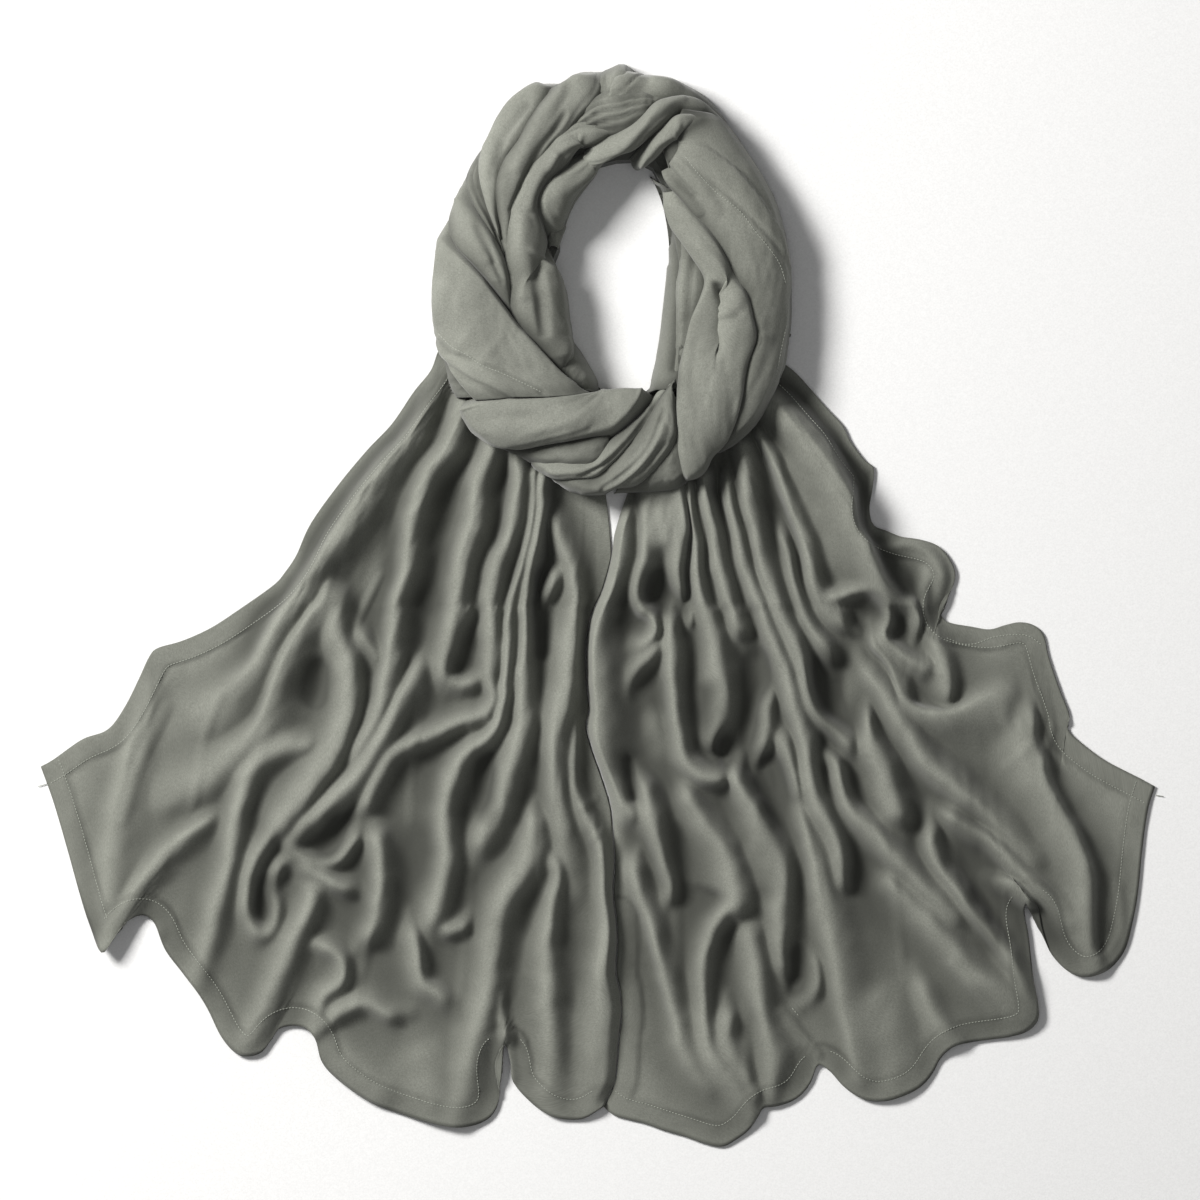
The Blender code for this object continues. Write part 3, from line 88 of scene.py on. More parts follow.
CREASE_DEPTH = 5          # how deep a trough is where its painted shade is darkest
CREASE_SHADE = 0.6        # how dark that painted shade is
ROLL = 3.6                # radius of a stretch's rolled edge

# Outer edge of the ring, clockwise from its top corner: x, y
RING_OUTLINE = (
    (18, 379), (25, 375), (34, 371), (50, 369), (62, 364), (72, 359), (80, 352), (88, 343), (95, 332),
    (102, 321), (112, 306), (120, 292), (126, 278), (131, 260), (134, 240), (135, 220), (135, 200),
    (133, 185), (131, 170), (128, 162), (124, 152), (118, 140), (112, 130), (105, 122), (95, 113),
    (87, 108), (80, 104), (77, 97), (70, 91), (62, 87), (56, 83), (42, 81), (26, 80), (8, 79), (-10, 79.5),
    (-20, 82), (-28, 87), (-35, 91), (-42, 95), (-48, 102), (-60, 108), (-72, 113), (-80, 120),
    (-88, 128), (-94, 137), (-98, 146), (-103, 157), (-106, 170), (-110, 180), (-112, 200), (-113, 215),
    (-112, 230), (-110, 245), (-108, 258), (-104, 270), (-98, 282), (-95, 290), (-90, 302), (-85, 312),
    (-77, 324), (-72, 330), (-65, 342), (-58, 352), (-48, 360), (-38, 364), (-22, 366), (-12, 371),
    (0, 372), (10, 376),
)

# Edge of the hole inside the ring, clockwise from its lower left: x, y
HOLE_OUTLINE = (
    (3, 148.5), (0, 158), (-5, 167), (-11, 177), (-17, 186), (-18, 194), (-20, 203), (-21, 215),
    (-22, 225), (-27, 236), (-22, 243), (-21, 250), (-23, 262), (-22, 272), (-16, 284), (-6, 297),
    (5, 304), (18, 306), (30, 306), (38, 300), (45, 285), (49, 268), (51, 250), (51, 235), (50, 222),
    (48, 205), (46, 190), (43, 175), (40, 163), (36, 149.5), (20, 149),
)

# Hollows pressed into the ring: x, y, half length, half width, lean in degrees, depth
RING_HOLLOWS = (
    (87, 203, 21, 6, 8, 10),
    (-36, 258, 30, 7, 25, 10),
    (-10, 320, 10, 7, -30, 8),
    (58, 324, 10, 7, -40, 5),
    (48, 300, 16, 5, 30, 8),
)

# One row for each section of a stretch of the ring: outer edge x, y and inner edge x, y
STRETCHES = {
    "outer_panel": (1, 1.5, (
        (64, 342, 50, 316), (76, 340, 54, 305), (88, 335, 59, 293), (101, 322, 70, 276),
        (113, 305, 77, 268), (124, 284, 87, 251), (131, 260, 97, 234), (135, 230, 106, 216),
        (135, 200, 109, 199), (133, 184, 112, 185), (131, 170, 105, 169), (124, 152, 102, 151),
        (112, 130, 96, 132), (98, 115, 89, 117), (86, 107.5, 83, 108))),
    "front_stretch": (2, 2.5, (
        (50, 290, 58, 291), (54, 272, 70, 275), (62, 257, 79, 262), (70, 243, 88, 246),
        (77, 229, 96, 231), (75, 216, 104, 217), (69, 199, 107, 202), (65, 183, 109, 187),
        (61, 166, 103, 167), (59, 149, 100, 149), (57, 132, 95, 131), (57, 118, 88, 117),
        (58, 105, 79, 105), (60, 94, 73, 94), (61, 88, 65, 89))),
    "inner_right_edge": (0, 1.5, (
        (41, 298, 47, 294), (46, 282, 51, 281), (50, 264, 57, 264), (52, 245, 61, 243),
        (51, 226, 60, 223), (48, 205, 59.5, 204), (46, 187, 58, 186), (42, 169, 56.5, 169),
        (38, 154, 54.5, 156))),
    "inner_right_fold": (1, 1.5, (
        (60, 254, 64, 254), (62, 242, 70, 241), (61, 224, 74, 223), (60, 204, 69, 203),
        (59, 187, 65.5, 187), (57.5, 170, 61.5, 169), (55.5, 158, 58.5, 158))),
    "hook_strand": (3, 1.5, (
        (24, 310, 31, 306), (32, 319, 40, 312), (42, 330, 48, 320), (52, 340, 56, 328),
        (62, 342, 63, 332), (72, 340.5, 71, 336))),
    "over_strand": (2, 2.5, (
        (-31, 251, -28, 250), (-39, 270, -22.5, 269), (-41, 284, -16, 284),
        (-36, 296, -6, 298), (-26, 304, 0, 309), (-14, 312, 6, 317), (0, 322, 15, 320),
        (16, 330, 28, 323), (30, 338, 40, 332), (42, 349, 49, 339), (57, 353, 59, 344.5),
        (73, 350, 73, 343), (83, 344, 81, 341), (90, 337.5, 88, 336))),
    "top_outer": (1, 1.5, (
        (24, 370, 17, 356), (36, 370.5, 31, 357.5), (50, 369, 46, 356), (63, 363.5, 61, 354.5),
        (76, 356, 73, 351.5), (88, 343, 86, 343), (100, 325, 99, 325.5))),
    "top_corner": (0, 1.0, (
        (5, 373, 5, 361), (10, 375.5, 9, 360), (18, 378.5, 14, 358), (26, 374, 20.5, 367))),
    "top_strands": (0, 2.0, (
        (-21.5, 333, -20, 331.5), (-10.5, 342, -10, 335), (1.5, 351, 0, 334), (15, 355, 17, 334),
        (30, 356.5, 32, 342), (45, 355, 43, 351), (60, 353.8, 57, 353.4))),
    "upper_left_outer": (2, 2.0, (
        (-22, 366, -24, 364), (-38, 364, -31, 358), (-56, 354, -38, 348), (-66, 341, -46, 336),
        (-73, 326, -54, 322), (-77, 309, -63, 310), (-78, 295, -68, 293), (-75, 278, -69, 272),
        (-70, 262, -67, 256))),
    "upper_left_middle": (1, 2.5, (
        (-16, 369, 1.5, 371), (-20, 366, 1, 367), (-27, 361, -1, 357), (-37, 349, -15, 341),
        (-45, 337, -26, 329),
        (-53, 323, -37, 316), (-62, 310, -48, 302), (-67, 298, -54, 291), (-68, 284, -58, 279),
        (-67, 268, -60, 264), (-64, 247, -61, 246))),
    "inner_left": (1, 2.5, (
        (12, 333, 13, 331), (-1, 334, -1, 325), (-13, 334, -14, 322), (-24, 328, -22, 311),
        (-37, 315, -31, 302), (-47, 303, -38, 294), (-53, 290.5, -43, 283), (-58, 277, -43, 270),
        (-60, 257, -39, 254), (-60, 235, -31, 236), (-58, 214, -22, 214), (-52, 194, -20, 194),
        (-42, 180, -19, 182), (-33, 170, -22, 170), (-27, 163, -25, 162.5))),
    "left_strands": (1, 1.0, (
        (-74, 327, -73, 326), (-83, 314, -78, 309), (-88, 301, -79, 295), (-86, 289, -77, 281),
        (-81, 275, -73, 268), (-74, 261, -68, 255), (-67, 248, -65, 246))),
    "left_panel": (2, 2.0, (
        (-91, 301, -89, 299), (-95, 290, -87, 287), (-98, 277, -82, 274), (-98, 264, -75, 262),
        (-94, 251, -69, 250), (-85, 239, -64, 238), (-75, 226, -62, 226), (-66, 214, -60, 213),
        (-60.5, 207, -59, 206))),
    "left_band": (3, 2.0, (
        (-103, 270, -99, 266), (-108, 257, -96, 254), (-111, 240, -86, 240), (-113, 221, -73, 222),
        (-112, 204, -60, 204), (-110, 187, -47, 188), (-103, 173, -35, 172), (-95, 160, -24, 160),
        (-87, 150, -13, 150.5))),
    "left_roll": (-0.92, 0.8, (
        (-105, 171, -104, 170), (-103, 160, -98, 161), (-99, 151, -92, 152), (-95, 146, -89, 146))),
    "lining_corner": (0, 0.5, (
        (-23, 165, -18, 183), (-18, 157, -9, 171), (-10, 151.5, 1, 151.5))),
    "bottom_band": (3.6, 2.6, (
        (-93, 139, -92, 143), (-83, 123, -81, 146), (-70, 114, -67, 147), (-50, 112, -50, 147),
        (-30, 113, -30, 148), (-8, 116, -8, 149), (12, 119, 12, 149), (26, 129, 25, 149.5),
        (36, 139, 33.5, 149))),
    "bottom_strand": (1, 1.5, (
        (-66, 111.5, -64, 113), (-50, 104, -50, 111.5), (-30, 102.5, -30, 112.5),
        (-10, 101.5, -9, 115), (3, 105, 3, 116.5), (8, 111.5, 9, 117))),
    "bottom_roll": (2, 2.0, (
        (-41, 96, -45, 101.5), (-29, 91, -29, 101), (-14, 91.5, -14, 101), (-1, 92.5, -3, 101.5),
        (8, 99, 4, 108.5), (19, 109, 15, 118.5), (32, 122.5, 26, 127), (43, 137, 37, 137.5),
        (51, 150, 45, 148), (57, 157, 53, 153))),
    "bottom_wide": (1, 3.0, (
        (-28, 87, -31, 90), (-14, 80, -13, 91), (2, 79.5, 1, 91.5), (13, 86, 11, 99),
        (26, 88, 23, 111.5), (38, 97, 34, 123.5), (48, 108, 44, 137), (55, 120, 51, 147.5),
        (57, 138, 55.5, 154))),
    "bottom_end": (0, 1.0, (
        (13, 80, 15, 84), (28, 80.5, 28, 86.5), (42, 81, 41, 98), (50, 82, 50, 108), (57, 84, 56.5, 116))),
}

# Sides of the two loose ends, from the ring out to the corner: x, y
LEFT_OUTER_SIDE = (
    (-110, 180), (-116, 165), (-128, 150), (-143, 128), (-160, 110), (-180, 86), (-200, 58), (-210, 36),
    (-218, 24), (-226, 15), (-250, -2), (-270, -15), (-290, -24), (-307, -29), (-313, -35), (-320, -50),
    (-330, -70), (-342, -86), (-360, -93), (-380, -107), (-389, -112),
)
MEETING_LINE = (
    (10.5, 35), (7, 20), (3, 8), (-1, 0), (-5, -12), (-7, -25), (-7, -45), (-6, -60), (-5, -72), (-7, -84),
    (-3, -100), (4, -120), (10, -140), (12, -160), (13, -180), (12, -200), (14, -218), (15, -235),
    (14, -255), (17, -270), (18, -285), (16, -302), (15, -318), (13, -334), (5, -350),
)
LEFT_INNER_SIDE = ((7, 79), (8.5, 66), (10, 50)) + MEETING_LINE
RIGHT_INNER_SIDE = ((22, 80), (17, 66), (12.5, 50)) + MEETING_LINE
RIGHT_OUTER_SIDE = (
    (131, 170), (140, 163), (150, 152), (160, 140), (172, 127), (178, 115), (188, 102), (194, 97),
    (193, 82), (191, 68), (194, 57), (203, 53), (213, 49), (226, 47), (238, 43), (246, 35), (251, 24),
    (249, 13), (243, 6), (240, -1), (243, -9), (250, -12), (262, -14), (275, -16), (286, -13),
    (296, -11), (306, -13), (313, -20), (316, -33), (320, -46), (325, -60), (331, -76), (330, -86),
    (340, -96), (355, -107), (368, -114), (380, -120), (391, -126),
)

# Hems of the two ends, from the left to the right: x, y
LEFT_HEM = (
    (-389, -112), (-380, -137), (-370, -171), (-362, -200), (-355, -222), (-346, -242), (-337, -231),
    (-329, -221), (-318, -216), (-309, -222), (-302, -240), (-290, -256), (-280, -269), (-272, -282),
    (-262, -302), (-250, -314), (-236, -313), (-228, -304), (-221, -295), (-206, -294), (-197, -302),
    (-192, -319), (-180, -332), (-160, -346), (-140, -354), (-110, -363), (-90, -364), (-74, -357),
    (-68, -342), (-71, -320), (-64, -307), (-60, -318), (-58, -333), (-46, -347), (-33, -356),
    (-20, -359), (-8, -358), (5, -350),
)
RIGHT_HEM = (
    (5, -350), (12, -356), (22, -359), (34, -362), (48, -367), (62, -371), (76, -376), (88, -378),
    (98, -373), (107, -366), (113, -357), (117, -351), (125, -350), (135, -347), (143, -342),
    (150, -333), (155, -321), (163, -325), (172, -335), (181, -342), (191, -346), (203, -346),
    (216, -342), (227, -336), (235, -327), (241, -316), (250, -308), (262, -305), (276, -303),
    (290, -301), (302, -297), (309, -289), (309, -277), (306, -262), (304, -245), (302, -228),
    (299, -212), (303, -206), (309, -212), (312, -226), (317, -241), (327, -253), (338, -259),
    (350, -258), (361, -252), (370, -240), (375, -222), (379, -200), (382, -170), (386, -142),
    (391, -126),
)

# Folds of the left end, each with one row per section along its crest:
# x, y, height, half width to the left of the picture or below, half width to the right or above
LEFT_FOLDS = (
    ((-112, 168, 16, 7, 9), (-127, 125, 20, 9, 12), (-152, 95, 20, 9, 14), (-172, 60, 20, 10, 13),
     (-197, 25, 19, 8, 12), (-218, -8, 18, 7, 12), (-236, -40, 15, 7, 14), (-262, -68, 9, 10, 16),
     (-290, -88, 4, 12, 14)),
    ((-313, -60, 5, 6, 8), (-320, -82, 7, 6, 10), (-331, -122, 8, 6, 12), (-339, -165, 8, 7, 12),
     (-339, -205, 8, 8, 10), (-337, -228, 7, 8, 8)),
    ((-181, 26, 12, 4, 6), (-190, 5, 17, 6, 10), (-207, -22, 18, 6, 12), (-222, -52, 17, 6, 12),
     (-232, -82, 15, 6, 14), (-248, -100, 12, 9, 12), (-275, -124, 9, 12, 10), (-318, -140, 3, 14, 8)),
    ((-178, 22, 12, 5, 6), (-182, -12, 16, 9, 8), (-172, -40, 17, 10, 7), (-172, -70, 17, 10, 7),
     (-183, -100, 17, 12, 8), (-200, -124, 17, 12, 8), (-218, -150, 16, 12, 8), (-230, -168, 13, 10, 8)),
    ((-186, -94, 14, 8, 8), (-205, -97, 14, 8, 8), (-222, -99, 14, 8, 8), (-238, -109, 14, 7, 8),
     (-248, -135, 15, 7, 7), (-255, -172, 14, 7, 7), (-264, -205, 12, 7, 7), (-271, -235, 9, 7, 7),
     (-279, -262, 5, 7, 7)),
    ((-258, -143, 9, 5, 6), (-275, -153, 11, 5, 7), (-300, -172, 11, 5, 8), (-320, -197, 10, 5, 8),
     (-335, -222, 9, 5, 8), (-346, -240, 8, 5, 6)),
    ((-203, -112, 13, 7, 7), (-216, -142, 14, 7, 6), (-232, -166, 14, 7, 6), (-243, -190, 13, 6, 5),
     (-244, -212, 12, 5, 5), (-237, -228, 10, 5, 5), (-227, -229, 9, 5, 5), (-223, -215, 9, 4, 4),
     (-226, -195, 9, 4, 5), (-219, -179, 11, 5, 5), (-205, -183, 11, 5, 5)),
    ((-172, -10, 12, 5, 5), (-163, -22, 12, 5, 5), (-153, -36, 11, 5, 5), (-153, -50, 8, 6, 6)),
    ((-92, 140, 18, 7, 9), (-100, 115, 20, 8, 10), (-117, 92, 20, 8, 9), (-128, 60, 20, 8, 9),
     (-131, 25, 19, 7, 8), (-140, 0, 18, 6, 8), (-144, -40, 17, 6, 8), (-152, -75, 16, 7, 8),
     (-166, -102, 14, 7, 8), (-177, -118, 11, 7, 7)),
    ((-118, -28, 13, 5, 8), (-133, -60, 16, 6, 9), (-150, -95, 17, 7, 9), (-170, -122, 17, 8, 9),
     (-190, -140, 16, 8, 9), (-206, -153, 14, 7, 8), (-214, -168, 11, 6, 6), (-200, -178, 11, 5, 5),
     (-182, -178, 11, 5, 5), (-171, -167, 12, 5, 5), (-165, -150, 13, 6, 6)),
    ((-70, 120, 18, 7, 8), (-80, 92, 20, 8, 9), (-83, 70, 21, 8, 10), (-90, 45, 21, 8, 10),
     (-95, 20, 20, 8, 9), (-97, 0, 19, 8, 9), (-104, -25, 17, 8, 8), (-108, -46, 15, 7, 6),
     (-97, -55, 13, 6, 5), (-84, -52, 13, 6, 5), (-76, -42, 14, 5, 5)),
    ((-56, 108, 18, 6, 7), (-54, 88, 19, 6, 7), (-60, 55, 20, 6, 8), (-70, 28, 19, 7, 8),
     (-74, 0, 18, 7, 8), (-72, -30, 17, 7, 7), (-75, -50, 15, 6, 6), (-72, -65, 15, 5, 6),
     (-80, -76, 15, 6, 6), (-98, -82, 15, 6, 6), (-120, -92, 15, 6, 7), (-140, -103, 15, 6, 7),
     (-152, -120, 15, 6, 7), (-162, -140, 13, 6, 7), (-166, -152, 11, 6, 7)),
    ((-44, 95, 15, 4, 4), (-47, 55, 17, 4, 4), (-58, 10, 17, 4, 5), (-62, -25, 17, 4, 5),
     (-65, -65, 17, 4, 5), (-74, -90, 16, 5, 6), (-90, -102, 16, 6, 7), (-100, -120, 17, 7, 8),
     (-106, -145, 17, 7, 8), (-104, -175, 16, 7, 8), (-111, -205, 15, 7, 8), (-118, -232, 14, 7, 8)),
    ((-38, 92, 16, 5, 5), (-40, 60, 18, 5, 5), (-48, 20, 18, 5, 5), (-50, -15, 18, 5, 5),
     (-52, -50, 17, 6, 7), (-51, -78, 17, 7, 9), (-57, -100, 17, 8, 9), (-66, -135, 16, 8, 9),
     (-76, -158, 15, 8, 9), (-88, -178, 14, 8, 9)),
    ((-37, 75, 10, 5, 6), (-27, 52, 12, 6, 8), (-16, 25, 14, 6, 7), (-14, 0, 15, 7, 5),
     (-19, -28, 17, 9, 7), (-20, -52, 18, 9, 8), (-26, -78, 18, 10, 8), (-29, -95, 17, 8, 9),
     (-27, -130, 16, 8, 8), (-24, -160, 13, 8, 8), (-18, -190, 8, 8, 9), (-16, -215, 4, 8, 9)),
    ((-20, 32, 12, 5, 6), (-32, 14, 12, 6, 6), (-42, -5, 12, 5, 5)),
    ((-43, -134, 13, 4, 5), (-45, -155, 16, 6, 8), (-47, -177, 17, 10, 10), (-62, -200, 17, 9, 9),
     (-70, -225, 15, 9, 9), (-74, -250, 14, 9, 9), (-79, -285, 13, 9, 9), (-86, -312, 11, 9, 9),
     (-94, -340, 8, 9, 9), (-98, -362, 5, 9, 9)),
    ((-36, -168, 16, 8, 6), (-27, -185, 14, 6, 5), (-30, -205, 14, 6, 6), (-34, -235, 14, 8, 7),
     (-33, -270, 14, 8, 8), (-31, -300, 12, 8, 9), (-30, -328, 7, 8, 9), (-30, -350, 3, 8, 9)),
    ((-204, -190, 12, 6, 7), (-199, -205, 13, 6, 7), (-208, -228, 13, 7, 7), (-219, -252, 12, 7, 8),
     (-230, -276, 10, 7, 8), (-242, -302, 6, 7, 8)),
    ((-203, -233, 12, 5, 5), (-188, -238, 12, 5, 5), (-178, -247, 12, 5, 5), (-177, -262, 12, 5, 5),
     (-190, -273, 10, 5, 5), (-196, -290, 8, 5, 6)),
    ((-158, -150, 15, 7, 8), (-152, -172, 16, 7, 8), (-150, -200, 16, 7, 8), (-154, -222, 14, 7, 8),
     (-168, -240, 11, 6, 7)),
    ((-214, -176, 11, 5, 5), (-196, -188, 12, 5, 5), (-180, -197, 13, 5, 5), (-162, -200, 14, 5, 6)),
    ((-130, -215, 12, 7, 5), (-126, -240, 14, 7, 5), (-122, -262, 14, 6, 5), (-108, -272, 13, 6, 5),
     (-96, -283, 12, 6, 5)),
    ((-116, -224, 12, 5, 6), (-98, -225, 12, 5, 6), (-84, -215, 12, 6, 6)),
    ((-197, -298, 8, 5, 6), (-180, -285, 10, 5, 6), (-160, -278, 11, 5, 6), (-145, -284, 11, 5, 6),
     (-130, -283, 11, 5, 6)),
    ((-66, -258, 8, 4, 4), (-67, -280, 9, 4, 4), (-63, -300, 8, 4, 4)),
    ((-188, -306, 5, 8, 10), (-172, -322, 6, 9, 10), (-152, -338, 5, 9, 10)),
    ((-122, -300, 5, 12, 14), (-112, -335, 6, 14, 16), (-106, -358, 4, 14, 14)),
    ((-15, -72, 8, 4, 4), (-16, -100, 12, 4, 4), (-15, -125, 13, 4, 5), (-8, -148, 14, 6, 5),
     (4, -170, 14, 5, 6), (7, -195, 14, 6, 6), (10, -228, 13, 7, 5), (5, -258, 12, 8, 8),
     (3, -290, 10, 12, 12), (2, -320, 8, 12, 12), (-1, -348, 4, 9, 9)),
)

